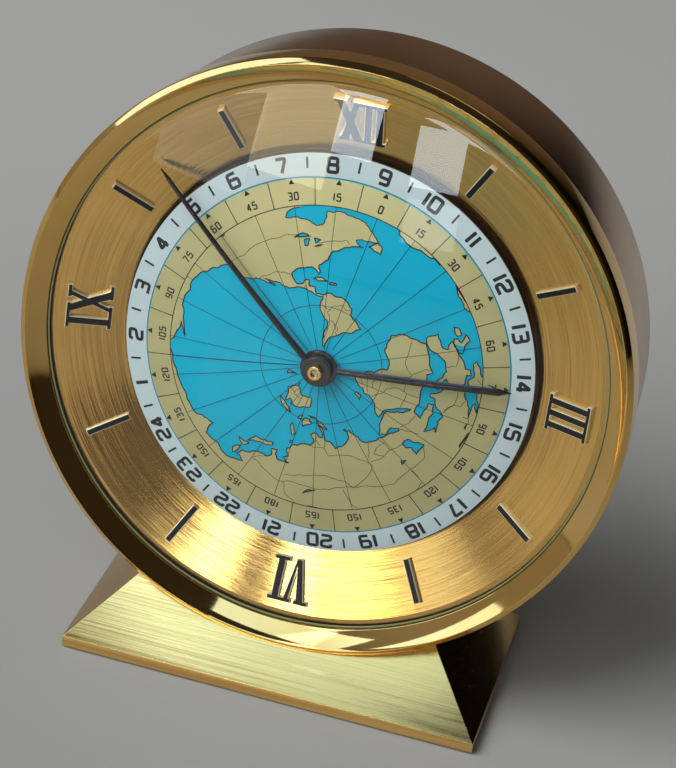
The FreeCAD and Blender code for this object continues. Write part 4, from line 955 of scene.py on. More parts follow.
class Digits:
    """Squarish figures drawn from strokes on a unit cell."""

    SLIM = 0.2
    EASE = 0.22
    STROKES: dict[str, list[tuple[bool, list[Point]]]] = {
        "0": [(True, [(0, 0), (1, 0), (1, 1), (0, 1)])],
        "1": [(False, [(0.5, 1.0), (0.5, 0.0)])],
        "2": [(False, [(0, 0.76), (0, 1), (1, 1), (1, 0.52), (0, 0.38), (0, 0), (1, 0)])],
        "3": [(False, [(0, 1), (1, 1), (1, 0.53), (0.3, 0.53)]),
              (False, [(0.9, 0.53), (1, 0.5), (1, 0), (0, 0)])],
        "4": [(False, [(0.72, 0.0), (0.72, 1.0), (0.0, 0.28), (1.0, 0.28)])],
        "5": [(False, [(1, 1), (0.06, 1), (0, 0.56), (1, 0.6), (1, 0), (0, 0), (0, 0.16)])],
        "6": [(False, [(0.9, 1), (0, 1), (0, 0), (1, 0), (1, 0.56), (0.05, 0.56)])],
        "7": [(False, [(0, 1), (1, 1), (0.42, 0)])],
        "8": [(True, [(0, 0), (1, 0), (1, 0.52), (0, 0.52)]),
              (True, [(0.06, 0.52), (0.94, 0.52), (0.94, 1), (0.06, 1)])],
        "9": [(False, [(0.1, 0), (1, 0), (1, 1), (0, 1), (0, 0.44), (0.95, 0.44)])],
    }

    @classmethod
    def runs(cls, text: str, radius: float, clockwise_deg: float, tall: float,
             wide: float, gap: float) -> list[list[Point]]:
        """Lay a number out on a circle with its top outwards.

        Args:
            text: The figures.
            radius: Radius of the figures' middle.
            clockwise_deg: Angle of the number's middle.
            tall: Height of a figure.
            wide: Width of a figure.
            gap: Space between two figures.

        Returns:
            Runs of flat points.
        """
        turn = math.radians(-clockwise_deg)
        centre = Vector(on_circle(radius, clockwise_deg))
        widths = [wide * cls.SLIM if figure == "1" else wide for figure in text]
        left = -(sum(widths) + (len(text) - 1) * gap) / 2
        laid = []
        ease = min(tall, wide) * cls.EASE
        for figure, room in zip(text, widths):
            start, left = left, left + room + gap
            for closed, stroke in cls.STROKES[figure]:
                cell = [(start + x * room, (y - 0.5) * tall, ease) for x, y in stroke]
                points = eased(cell, closed, 3)
                if closed:
                    points.append(points[0])
                rows = []
                for x, y in points:
                    spot = Matrix.Rotation(turn, 2) @ Vector((x, y)) + centre
                    rows.append((spot.x, spot.y))
                laid.append(rows)
        return laid


@dataclass
class HourRing:
    """24-hour ring: pale ring with a painted shade on its walls, ticks and figures."""

    inner: float = 34.62
    outer: float = 38.82
    inner_front: float = -0.65
    outer_front: float = -1.25
    thickness: float = 0.4
    first_deg: float = 233.9
    tick_deg: float = 1.5
    figure_radius: float = 36.8
    figure_tall: float = 2.5
    figure_wide: float = 1.8
    figure_gap: float = 0.85
    figure_stroke: float = 0.33
    tick_stroke: float = 0.2
    tick_inner: float = 36.1
    tick_outer: float = 38.1
    ink: float = 0.03

    def front(self, radius: float) -> float:
        """Height of the ring's face at a radius."""
        share = (radius - self.inner) / (self.outer - self.inner)
        return self.inner_front + (self.outer_front - self.inner_front) * share

    def printed(self, name: str, runs: Sequence[Sequence[Point]],
                stroke: float) -> bpy.types.Object:
        """Draw lines and press them onto the ring's face as a thin layer of ink.

        Args:
            name: Name of the piece.
            runs: Flat runs of points.
            stroke: Half the width of a line.

        Returns:
            The finished piece.
        """
        rows = [[(x, y, self.front(math.hypot(x, y))) for x, y in run] for run in runs]
        piece = Bench.drawn(name, rows, False, stroke)
        for vertex in piece.data.vertices:
            radius = math.hypot(vertex.co.x, vertex.co.y) / MM
            face = self.front(radius) * MM
            vertex.co.z = face + (vertex.co.z - face) * (self.ink / stroke)
        return Bench.done(piece, "day_ring_body", Slot.RING_PRINT, INK)

    def build(self) -> None:
        """Turn the ring and draw its print."""
        corners = [(self.inner, self.inner_front, 0.04), (self.outer, self.outer_front, 0.06),
                   (self.outer, self.outer_front - self.thickness, 0.04),
                   (self.inner, self.inner_front - self.thickness, 0.04)]
        ring = Bench.turned("hour_ring_face", eased(corners), 256)
        # Walls and back get the dark finish, a painted shade of the ring's edge
        for finish in (RING_WHITE, RING_WALL_PAINTED_SHADE):
            ring.data.materials.append(finish.made())
        for face in ring.data.polygons:
            face.material_index = 1 if face.normal.z < 0.6 else 0
        Bench.done(ring, "day_ring_body", Slot.RING_PRINT, RING_WHITE, replaces=["day_ring"])
        figures: list[list[Point]] = []
        ticks = []
        for hour in range(1, ZONES + 1):
            figures += Digits.runs(str(hour), self.figure_radius,
                                   self.first_deg + ZONE_DEG * hour, self.figure_tall,
                                   self.figure_wide, self.figure_gap)
        for tick in range(ZONES):
            angle = self.tick_deg + ZONE_DEG * tick
            ticks.append([on_circle(self.tick_inner, angle), on_circle(self.tick_outer, angle)])
        self.printed("hour_ring_figures", figures, self.figure_stroke)
        self.printed("hour_ring_ticks", ticks, self.tick_stroke)


@dataclass
class WorldMap:
    """Map disc seen from above the south pole, with its band of longitudes."""

    dome: Dome
    bore: float = 2.0
    thickness: float = 0.4
    band_inner: float = 29.6
    band_outer: float = 34.35
    zero_deg: float = 71.2
    unit: float = 45.7
    print_lift: float = 0.03
    coast_radius: float = 0.11
    cell: float = 2.0
    line_radius: float = 0.05
    bold_radius: float = 0.09
    figure_stroke: float = 0.14
    land_depth: float = 0.05
    ink: float = 0.04
    equator_radius: float = 11.48
    meridian_inner: tuple[float, float] = (2.6, 4.0)
    rule_deg: float = 3.7
    date_line_deg: float = 258.7
    date_line_inner: float = 3.0
    mark_deg: float = 11.2
    mark_radius: float = 31.3
    mark_tall: float = 1.25
    mark_wide: float = 0.68
    mark_gap: float = 0.48
    arrow_radius: float = 33.6
    arrow_size: float = 0.8
    arrow_ink: float = 0.03
    long_run_deg: float = 12.0
    short_run: float = 0.5
    seed: int = 7

    LATITUDE_RADII = ((-90.0, 0.0), (-56.0, 0.075), (-35.0, 0.145), (0.0, 0.2512), (12.0, 0.31),
                      (25.0, 0.375), (36.0, 0.445), (50.0, 0.552), (60.0, 0.62), (66.5, 0.648),
                      (75.0, 0.70))
    LANDS: tuple[tuple[Point, ...], ...] = (
        ((-168, 69), (-166, 64.5), (-165, 62), (-162, 59.5), (-158, 58.5), (-164, 54.5),
         (-156, 57.5), (-152, 60), (-148, 60.5), (-141, 60), (-136, 58), (-131, 54), (-127, 50.5),
         (-124, 48), (-124, 43), (-122, 37), (-118, 34), (-115, 30), (-110, 23), (-114, 31),
         (-109, 26), (-105, 20), (-99, 16.7), (-94, 16), (-90, 14), (-86, 11), (-83, 8.5),
         (-80, 7.5), (-77.5, 7.5), (-80, -1), (-80, -6), (-76, -14), (-70, -20), (-71, -30),
         (-73, -40), (-75, -48), (-72, -53), (-67, -55), (-69, -52), (-67, -48), (-65, -43),
         (-62, -39), (-57, -37), (-53, -33), (-48, -26), (-44, -23), (-40, -20), (-38, -13),
         (-35, -6), (-44, -2.5), (-50, 0), (-52, 5), (-62, 10.5), (-72, 12), (-77.5, 9),
         (-79, 9.5), (-83, 10), (-83.5, 15), (-88, 16), (-87.5, 21), (-90.5, 21), (-92, 18.5),
         (-96, 19), (-97.5, 24), (-97, 28), (-94, 29.5), (-90, 29.5), (-85, 30), (-82.5, 28),
         (-81, 25.3), (-80, 27), (-81, 31), (-76, 35), (-74, 40), (-70, 42), (-66, 44.5),
         (-61, 46), (-65, 48.5), (-60, 50), (-56, 52), (-59, 55), (-62, 58), (-65, 60),
         (-70, 61), (-78, 62), (-78, 58), (-79, 54), (-82, 52.5), (-88, 56.5), (-94, 58.5),
         (-93, 62), (-88, 65), (-85, 69)),
        ((-6, 35.5), (10, 37), (11, 33.5), (20, 31), (25, 31.5), (32.5, 31), (34.3, 31.3),
         (36, 36.5), (31, 36.5), (27, 37), (26.5, 40), (31, 41.3), (37, 41), (41.5, 41.5),
         (37, 45), (39, 47), (33.5, 45), (31, 46.5), (28.5, 44), (28, 42), (26.5, 40.8),
         (23.5, 40), (23, 37), (21.5, 37), (19.5, 41.5), (14, 45), (12.5, 44), (18.5, 40),
         (16, 38), (12, 42), (9, 44), (4, 43.3), (0, 40), (-2, 37), (-5.5, 36), (-9, 37),
         (-9, 43), (-2, 43.5), (-1, 46), (-4.5, 48.5), (2, 51), (8, 54), (8.5, 57), (10.5, 57.5),
         (10.5, 54.5), (14, 54), (19, 54.5), (21, 57), (24, 59), (28, 60), (22, 60.5),
         (21.5, 63), (25, 65.5), (22, 66), (17.5, 62.5), (17, 60.5), (16, 56.5), (13, 55.5),
         (11, 59), (6, 58.5), (5, 61), (10, 64), (14, 69), (60, 69), (100, 69), (140, 69),
         (190, 69), (190, 66), (187, 64.5), (180, 62.5), (170, 60), (163, 58), (162, 55),
         (157, 51), (156, 57), (155, 59.5), (143, 59), (137, 54), (141, 52.5), (140, 48),
         (135, 43), (130, 42), (128, 39.5), (129.5, 36), (126.5, 34.5), (126.5, 37.5),
         (124.5, 40), (121.5, 39.5), (118, 39), (122, 37), (119.5, 35), (122, 31), (119.5, 26),
         (114, 22), (108.5, 21.5), (106, 18), (109, 12), (105, 9), (102, 12.5), (100, 13),
         (99.5, 9), (103.5, 1.5), (101, 3), (98.5, 8), (98, 15), (94.5, 16), (91.5, 22.5),
         (87, 21), (80.5, 15.5), (80, 10.5), (77.5, 8), (73.5, 16), (72.5, 21), (67, 25),
         (61.5, 25), (57, 26.5), (54, 27), (49, 30), (48, 29), (51, 25), (56, 26), (59.5, 22.5),
         (55, 17), (45, 13), (43, 14), (39, 21), (35, 28), (33.6, 29.0), (34, 27.5), (37, 20),
         (43, 12), (51, 12), (46, 4), (41, -2), (39, -8), (40, -15), (35, -20), (35, -25),
         (32, -29), (27, -34), (18, -34.5), (15, -27), (12, -18), (13, -10), (9, -1),
         (9.5, 4), (4, 6), (-8, 4.5), (-13, 9), (-17, 14.5), (-16, 21), (-10, 29.5)),
        ((114, -22), (122, -18), (126, -14), (131, -12), (136.5, -12), (136, -15), (140.5, -17.5),
         (142.5, -11), (146, -19), (153, -26), (151, -33.5), (146, -39), (140, -38),
         (135, -34.5), (131, -31.5), (124, -33), (118, -35), (115, -34), (114, -27)),
        ((44, -17), (50, -15), (47.5, -25), (44, -25)),
        ((-5, 50), (1, 51.2), (1.5, 53), (-2, 56), (-3, 58.6), (-6, 57), (-3, 54), (-5, 52)),
        ((-10, 52), (-6, 52.3), (-6, 55), (-9, 54.5)),
        ((-24, 65.5), (-22, 63.8), (-18, 63.4), (-13.5, 65), (-16, 66.4)),
        ((-53, 69), (-51, 64), (-48, 61), (-44, 60), (-41, 63), (-36, 66), (-30, 69)),
        ((-59, 47.6), (-53, 46.7), (-53.5, 49.5), (-56, 51.5)),
        ((-84.5, 22), (-79, 23), (-74.5, 20.2), (-78, 20.5)),
        ((-74, 18.5), (-69, 18.5), (-69, 19.8), (-73, 20)),
        ((130, 31.5), (135, 33.5), (140, 35), (141.5, 41), (139.5, 38.5), (136, 36.5),
         (132, 35), (130, 33.5)),
        ((140, 42), (145.5, 43.3), (142, 45.5)),
        ((142, 46.5), (144, 50), (142.5, 54), (141.8, 50)),
        ((120.3, 22.5), (121.5, 23), (121.8, 25.2), (120.2, 24)),
        ((120, 15), (122, 13), (125.5, 7), (126, 10), (122, 18)),
        ((109, 1.5), (112, -3), (116, -3.5), (118.5, 2), (116.5, 6.5), (113, 3.5)),
        ((95.5, 5.5), (101, -2), (105.5, -5.8), (104, -1), (100, 2.5)),
        ((105.5, -6.5), (110, -8), (114.5, -8.5), (111, -6.4)),
        ((120, -5.5), (122, -3), (123, 0.8), (120, 0.5)),
        ((131, -1), (138, -6), (143, -9), (150, -10), (146, -6), (141, -2.8)),
        ((145, -41), (148, -41), (147, -43.6)),
        ((173, -35), (178.5, -38), (175, -41.5), (171, -44), (167, -46.5), (172, -40.8)),
        ((80, 9), (81.8, 7), (80.5, 6)),
    )
    WATERS: tuple[tuple[Point, ...], ...] = (
        ((47, 46), (53, 46.5), (52, 42), (54, 40), (53.5, 37), (49.5, 37.5), (49.5, 40.5),
         (47.5, 43)),
        ((58.5, 45.5), (61.5, 46), (60.5, 44)),
        ((104, 51.4), (107, 52), (109.5, 55.6), (108, 54)),
        ((34, 66), (40, 64.5), (38, 64), (33, 65.5)),
        ((-92, 46.7), (-88, 48.6), (-84.5, 46.6), (-88, 46.6)),
        ((-87.6, 42), (-86.2, 42), (-85, 45.6), (-87.8, 45)),
        ((-83, 45.8), (-80, 45), (-82.3, 43.2)),
        ((-83, 41.6), (-79, 42.8), (-80.5, 42)),
        ((29.8, 61), (32.5, 61.5), (31.5, 59.9)),
    )
    BORDERS: tuple[tuple[Point, ...], ...] = (
        ((-141, 60), (-141, 66.3)), ((-123, 49), (-110, 49), (-95, 49), (-89, 48)),
        ((-82, 42), (-75, 45), (-69, 47), (-67, 45)),
        ((-117, 32.5), (-110, 31.5), (-105, 31), (-101, 29), (-97.5, 26)),
        ((-92, 15), (-90, 17)), ((-78, 1), (-73, -3), (-70, -4), (-69, 1), (-67, 2), (-60, 5)),
        ((-70, -4), (-73, -8), (-70, -11), (-69, -17), (-62, -20), (-58, -22), (-55, -27),
         (-57, -31), (-53, -33)),
        ((-69, -17), (-68, -24), (-70, -33), (-72, -42), (-72, -50)),
        ((-62, -20), (-62, -22), (-58, -27)), ((-52, 4), (-56, 2), (-60, 4)),
        ((9, 37), (8, 33), (9.5, 30), (12, 24), (14, 22.5), (24, 20), (25, 22), (25, 31.5)),
        ((25, 22), (37, 22)), ((-9, 27.5), (-5, 25), (2, 20), (4, 19), (12, 23.5)),
        ((14, 22.5), (15, 13), (14, 7), (16, 3)), ((24, 20), (23, 12), (27, 5), (31, 4)),
        ((31, 4), (34, 0), (37, -3), (39, -5)), ((12, -6), (20, -7), (24, -11), (30, -9)),
        ((12, -17), (24, -17.5), (30, -16), (36, -12)), ((20, -18), (20, -28), (26, -25),
                                                         (31, -22)),
        ((2, 51), (7, 49), (7, 44)), ((14, 54), (15, 51), (24, 50), (28, 46)),
        ((21, 56), (24, 54), (24, 50), (29, 46)), ((28, 60), (28, 57)),
        ((30, 69), (30, 63), (28, 61)), ((12, 62), (14, 66), (20, 69)),
        ((48, 46), (52, 51), (60, 51), (70, 54), (80, 50), (87, 49), (98, 50), (107, 50),
         (116, 50), (120, 53), (127, 50), (131, 48), (135, 48), (131, 43)),
        ((87, 49), (90, 45), (97, 42.5), (105, 42), (112, 44), (119, 47)),
        ((87, 49), (80, 45), (74, 39), (78, 34), (82, 30), (88, 28), (97, 28), (99, 22),
         (106, 23), (108, 21.5)), ((54, 37.5), (61, 36), (66, 37), (74, 37)),
        ((61, 36), (61, 30), (63, 25)), ((66, 37), (70, 33), (67, 30), (61, 30)),
        ((74, 34), (71, 28), (69, 24)), ((44, 40), (46, 35), (48, 30)),
        ((36, 33), (42, 32), (47, 29)), ((99, 22), (98, 16)), ((102, 20), (105, 15), (103, 11)),
        ((60, 51), (60, 62), (66, 68)), ((92, 50), (90, 60), (86, 68)),
        ((118, 52), (116, 60), (110, 68)), ((141, -2.8), (141, -9)),
        ((129, -15), (129, -32)), ((129, -26), (141, -26), (141, -37.5)), ((141, -29), (152, -29)),
    )

    def radius_of(self, latitude: float) -> float:
        """Radius on the disc of a latitude."""
        table = self.LATITUDE_RADII
        for (low, near), (high, far) in zip(table, table[1:]):
            if latitude <= high:
                share = (latitude - low) / (high - low)
                return (near + (far - near) * share) * self.unit
        return table[-1][1] * self.unit

    def spot(self, longitude: float, latitude: float) -> Point:
        """Place on the disc of a longitude and latitude."""
        return on_circle(self.radius_of(latitude), self.zero_deg + longitude)

    def coast(self, corners: Sequence[Point], closed: bool, wander: float,
              chance: random.Random) -> list[Point]:
        """Break straight runs of a coast into natural ones.

        Args:
            corners: Longitudes and latitudes.
            closed: Whether the coast returns to its start.
            wander: How far a middle point may leave its run, by the run's length.
            chance: The seeded source of random numbers.

        Returns:
            Flat points on the disc.
        """
        places: list[Point] = []
        count = len(corners)
        for index in range(count if closed else count - 1):
            (lon, lat), (lon2, lat2) = corners[index], corners[(index + 1) % count]
            cuts = max(1, int(abs(lon2 - lon) / self.long_run_deg))
            for cut in range(cuts):
                share = cut / cuts
                places.append(self.spot(lon + (lon2 - lon) * share, lat + (lat2 - lat) * share))
        if not closed:
            places.append(self.spot(*corners[-1]))
        for _ in range(2):
            finer: list[Point] = []
            for index, here in enumerate(places):
                finer.append(here)
                if index == len(places) - 1 and not closed:
                    break
                there = places[(index + 1) % len(places)]
                run = Vector(there) - Vector(here)
                if run.length < self.short_run:
                    continue
                side = Vector((-run.y, run.x)) * chance.uniform(-wander, wander)
                middle = (Vector(here) + Vector(there)) / 2
                clear = not self.blocked(places, here, middle + side, there)
                middle += side if clear else Vector((0.0, 0.0))
                finer.append((middle.x, middle.y))
            places = finer
        return places

    @staticmethod
    def blocked(places: Sequence[Point], here: Point, middle: Vector, there: Point) -> bool:
        """Say whether a bend from here by middle to there comes near another run."""
        reach = (Vector(there) - Vector(here)).length
        ends = (here, there)
        for first, last in zip(places, places[1:]):
            if first in ends or last in ends:
                continue
            run = Vector(last) - Vector(first)
            share = (middle - Vector(first)).dot(run) / max(run.length_squared, 1e-9)
            near = Vector(first) + run * min(max(share, 0.0), 1.0)
            if (middle - near).length < reach * 0.3:
                return True
        return False

    def lifted(self, run: Sequence[Point]) -> list[tuple[float, float, float]]:
        """Raise flat points onto the print on the dome."""
        return [(x, y, self.dome.front(math.hypot(x, y)) + self.print_lift) for x, y in run]

    def lands(self, coasts: Sequence[Sequence[Point]]) -> bpy.types.Object:
        """Fill the coasts, divide the layer in cells and lay it over the dome."""
        curve = bpy.data.curves.new("land_outlines", "CURVE")
        curve.dimensions = "2D"
        curve.fill_mode = "BOTH"
        for coast in coasts:
            spline = curve.splines.new("POLY")
            spline.points.add(len(coast) - 1)
            for point, (x, y) in zip(spline.points, coast):
                point.co = (x * MM, y * MM, 0.0, 1.0)
            spline.use_cyclic_u = True
        layer = bpy.data.objects.new("map_lands", curve)
        bpy.context.scene.collection.objects.link(layer)
        Bench.take(layer)
        bpy.ops.object.convert(target="MESH")
        layer = bpy.context.object
        reach = int(self.band_inner / self.cell) + 1
        with Bench.edit(layer):
            bpy.ops.mesh.remove_doubles(threshold=WELD)
            for step in range(-reach, reach + 1):
                for across in ((1.0, 0.0, 0.0), (0.0, 1.0, 0.0)):
                    bpy.ops.mesh.select_all(action="SELECT")
                    place = [part * step * self.cell * MM for part in across]
                    bpy.ops.mesh.bisect(plane_co=place, plane_no=across)
        edge = self.band_inner + 0.1
        for vertex in layer.data.vertices:
            radius = math.hypot(vertex.co.x, vertex.co.y) / MM
            if radius > edge:
                vertex.co.x *= edge / radius
                vertex.co.y *= edge / radius
                radius = edge
            vertex.co.z = (self.dome.front(radius) + self.print_lift) * MM
        with Bench.edit(layer, Pick.FACES):
            bpy.ops.mesh.dissolve_degenerate(threshold=WELD)
            Bench.choose(layer, lambda face: face.normal.z < 0.0)
            bpy.ops.mesh.flip_normals()
        Bench.modify(layer, "SOLIDIFY", thickness=self.land_depth * MM, offset=-1.0)
        return layer

    def within(self, outline: Sequence[Point]) -> list[list[Point]]:
        """Split a coast in the runs that lie inside the band."""
        runs: list[list[Point]] = []
        run: list[Point] = []
        for place in self.resampled([*outline, outline[0]], 0.5):
            if math.hypot(*place) < self.band_inner - 0.05:
                run.append(place)
                continue
            if len(run) > 1:
                runs.append(run)
            run = []
        if len(run) > 1:
            runs.append(run)
        return runs

    def thin_lines(self, chance: random.Random) -> list[list[Point]]:
        """Borders, meridians and the equator."""
        borders = [self.resampled(self.coast(border, False, 0.08, chance), 0.7)
                   for border in self.BORDERS]
        kept = [[place for place in run if math.hypot(*place) < self.band_inner]
                for run in borders]
        lines = [run for run in kept if len(run) > 1]
        for step in range(ZONES):
            angle = self.zero_deg + ZONE_DEG * step
            lines.append(self.resampled([on_circle(self.meridian_inner[step % 2], angle),
                                         on_circle(self.band_inner, angle)], 0.9))
        lines.append([on_circle(self.equator_radius, angle) for angle in range(0, 361, 4)])
        return lines

    def bold_lines(self) -> list[list[Point]]:
        """The band's inner rim and rules, and the date line."""
        lines = [[on_circle(self.band_inner, angle) for angle in range(0, 361, 2)]]
        for step in range(ZONES):
            angle = self.rule_deg + ZONE_DEG * step
            lines.append([on_circle(self.band_inner, angle), on_circle(self.band_outer, angle)])
        lines.append(self.resampled([on_circle(self.date_line_inner, self.date_line_deg),
                                     on_circle(self.band_inner, self.date_line_deg)], 0.9))
        return lines

    def longitudes(self) -> list[list[Point]]:
        """Figures of the band."""
        marks: list[list[Point]] = []
        for step in range(ZONES):
            degrees = int(ZONE_DEG) * step
            marks += Digits.runs(str(min(degrees, 360 - degrees)), self.mark_radius,
                                 self.mark_deg + ZONE_DEG * step, self.mark_tall,
                                 self.mark_wide, self.mark_gap)
        return marks

    def inked(self, name: str, runs: Sequence[Sequence[Point]],
              stroke: float) -> bpy.types.Object:
        """Draw lines of ink on the dome, for the caller to finish."""
        return Bench.drawn(name, [self.lifted(run) for run in runs], False, stroke)

    def build(self) -> None:
        """Build the disc and its print layers."""
        chance = random.Random(self.seed)
        disc = self.dome.shell("map_ocean", self.bore, self.dome.radius, 0.0, self.thickness)
        self.finished(disc, OCEAN, ["map_disc"])
        coasts = [self.coast(land, True, 0.14, chance) for land in self.LANDS]
        coasts += [self.coast(water, True, 0.10, chance) for water in self.WATERS]
        self.finished(self.lands(coasts), LAND)
        self.finished(self.dome.shell("longitude_band", self.band_inner, self.band_outer,
                                      self.print_lift, self.print_lift + 0.02), LAND)
        outlines = [run for coast in coasts for run in self.within(coast)]
        self.finished(self.inked("map_coasts", outlines, self.coast_radius), INK)
        self.finished(self.inked("map_lines", self.thin_lines(chance), self.line_radius), INK)
        self.finished(self.inked("band_rules", self.bold_lines(), self.bold_radius), INK)
        figures = self.inked("band_figures", self.longitudes(), self.figure_stroke)
        self.pressed(figures, self.figure_stroke)
        self.finished(figures, INK)
        self.finished(self.arrows(), INK)

    @staticmethod
    def finished(piece: bpy.types.Object, finish: Finish, replaces: Sequence[str] = ()) -> None:
        """Dress a piece of the map and let it ride on the map's body."""
        Bench.done(piece, "map_body", Slot.MAP_PRINT, finish, replaces=replaces)

    def pressed(self, piece: bpy.types.Object, stroke: float) -> None:
        """Press drawn lines onto the dome as a thin layer of ink."""
        for vertex in piece.data.vertices:
            radius = math.hypot(vertex.co.x, vertex.co.y) / MM
            face = (self.dome.front(radius) + self.print_lift) * MM
            vertex.co.z = face + (vertex.co.z - face) * (self.ink / stroke)

    @staticmethod
    def resampled(run: Sequence[Point], step: float) -> list[Point]:
        """Divide long straight runs so that they follow the dome."""
        made = [tuple(run[0])]
        for here, there in zip(run, run[1:]):
            gap = Vector(there) - Vector(here)
            cuts = max(1, int(math.ceil(gap.length / step)))
            for cut in range(1, cuts + 1):
                spot = Vector(here) + gap * cut / cuts
                made.append((spot.x, spot.y))
        return made

    def arrows(self) -> bpy.types.Object:
        """Place the small triangles that point out to the hour ring."""
        marks = []
        height = self.dome.front(self.arrow_radius) + self.print_lift
        for step in range(ZONES):
            bpy.ops.object.select_all(action="DESELECT")
            bpy.ops.mesh.primitive_circle_add(vertices=3, radius=self.arrow_size * MM,
                                              fill_type="NGON")
            mark = bpy.context.object
            with Bench.edit(mark, Pick.FACES):
                bpy.ops.mesh.extrude_region_move(
                    TRANSFORM_OT_translate={"value": (0, 0, self.arrow_ink * MM)})
                bpy.ops.mesh.select_all(action="SELECT")
                bpy.ops.mesh.normals_make_consistent(inside=False)
            angle = self.mark_deg + ZONE_DEG * step
            x, y = on_circle(self.arrow_radius, angle)
            mark.data.transform(Matrix.Translation((x * MM, y * MM, height * MM))
                                @ Matrix.Rotation(math.radians(-angle), 4, "Z"))
            marks.append(mark)
        return Bench.joined("band_arrows", marks)


# Markers
@dataclass
class Markers:
    """Black inlays of the bars and numerals, each with a sloped gilt edge painted pale as a painted
    highlight.
    """

    frame: dict[str, Any]
    dish_deg: float = 21.0
    rim: float = 0.13
    stand: float = 0.08

    def facing(self, face: Any) -> bool:
        """Say whether a face lies along the dial's flank."""
        back = LEANING.inverted()
        normal = back.to_3x3() @ face.normal
        spot = back @ face.center
        outward = Vector((spot.x, spot.y, 0.0)).normalized()
        slope = math.radians(self.dish_deg)
        flank = Vector((0.0, 0.0, math.cos(slope))) - outward * math.sin(slope)
        return normal.dot(flank) > 0.9

    def inlay(self, node: str, name: str) -> bpy.types.Object:
        """Inset the faces of one kind of marker.

        Args:
            node: The CAD node with the black faces.
            name: Name of the new piece.

        Returns:
            The finished piece.
        """
        piece = bpy.data.objects.new(name, self.frame["nodes"][node].data.copy())
        bpy.context.scene.collection.objects.link(piece)
        piece.data.materials.clear()
        # The gilt body takes the pale gilt, a painted highlight on its edges
        for finish in (MARKER_GILT_PAINTED_GLINT, BLACK_SATIN):
            piece.data.materials.append(finish.made())
        with Bench.edit(piece, Pick.FACES):
            bpy.ops.mesh.remove_doubles(threshold=WELD)
            bpy.ops.mesh.select_all(action="SELECT")
            piece.active_material_index = 0
            bpy.ops.object.material_slot_assign()
            Bench.choose(piece, self.facing)
            bpy.ops.mesh.inset(thickness=self.rim * MM, depth=self.stand * MM)
            piece.active_material_index = 1
            bpy.ops.object.material_slot_assign()
        return Bench.done(piece, "clock_case", Slot.BLACK_ENAMEL, BLACK_SATIN, STANDING, [node],
                          20.0)

    def build(self) -> list[bpy.types.Object]:
        """Build the inlays of the bars and of the numerals."""
        return [self.inlay("baton_faces", "bar_inlays"),
                self.inlay("numeral_faces", "numeral_inlays")]


# Hands
@dataclass
class Hand:
    """One bowed, ridged hand with a short point and its round hub."""

    name: str
    node: str
    body: str
    length: float
    hub_radius: float
    bore: float
    back: float
    angle_deg: float
    widths: tuple[float, float]
    hub_depth: float
    point: float = 2.2
    tip_width: float = 0.15
    thickness: float = 0.55
    bow_radius: float = 235.0
    edge_share: float = 0.42
    shell_share: float = 0.4
    edge: float = 0.035
    rows: int = 26

    def blade(self) -> bpy.types.Object:
        """Shape the blade: a bowed strip with a ridge along its middle and a short point."""
        bpy.ops.object.select_all(action="DESELECT")
        bpy.ops.mesh.primitive_grid_add(x_subdivisions=2, y_subdivisions=self.rows, size=1.0)
        piece = bpy.context.object
        start, shoulder = self.bore + 0.3, self.length - self.point
        root, end = self.widths
        for vertex in piece.data.vertices:
            side, row = vertex.co.x * 2.0, round((vertex.co.y + 0.5) * self.rows)
            if row <= self.rows - 2:
                y = start + (shoulder - start) * row / (self.rows - 2)
                half = (root + (end - root) * y / shoulder) / 2
            else:
                share = (row - self.rows + 2) / 2
                y = shoulder + self.point * share
                half = (end + (self.tip_width - end) * share) / 2
            drop = self.bow_radius - math.sqrt(self.bow_radius ** 2 - y ** 2)
            crest = self.thickness * (1.0 if abs(side) < 0.5 else self.edge_share)
            vertex.co = Vector((side * half, y, self.back - drop + crest)) * MM
        Bench.modify(piece, "SOLIDIFY", thickness=self.thickness * self.shell_share * MM,
                     offset=-1.0, use_even_offset=False)
        with Bench.edit(piece):
            bpy.ops.mesh.normals_make_consistent(inside=False)
        Bench.modify(piece, "BEVEL", width=self.edge * MM, segments=2, limit_method="ANGLE",
                     angle_limit=math.radians(25.0))
        return piece

    def hub(self) -> bpy.types.Object:
        """Turn the hub with a rounded edge."""
        top = self.back + self.thickness
        low = top - self.hub_depth
        corners = [(self.bore, low, 0.0), (self.bore, top, 0.03),
                   (self.hub_radius, top, 0.3), (self.hub_radius, low, 0.08)]
        return Bench.turned(self.name + "_hub", eased(corners), 96)

    def build(self) -> bpy.types.Object:
        """Join blade and hub and turn them to their place."""
        piece = Bench.joined(self.name, [self.blade(), self.hub()])
        piece.data.transform(Matrix.Rotation(math.radians(-self.angle_deg), 4, "Z"))
        return Bench.done(piece, self.body, Slot.BLACK_ENAMEL, BLACK, replaces=[self.node],
                          degrees=35.0)


@dataclass
class HandNut:
    """Gilt nut over the hands, with a dark hollow for the arbor."""

    radius: float = 1.4
    bore: float = 0.62
    back: float = 6.2375
    front: float = 7.2375

    def build(self) -> bpy.types.Object:
        """Turn the nut."""
        corners = [(self.bore, self.back, 0.0), (self.bore, self.front - 0.15, 0.05),
                   (self.bore + 0.15, self.front, 0.05), (self.radius, self.front, 0.3),
                   (self.radius, self.back, 0.05)]
        piece = Bench.turned("gilt_nut", eased(corners), 96)
        return Bench.done(piece, "minute_hand_body", Slot.POLISHED_GOLD, GILT,
                          replaces=["hand_nut"])


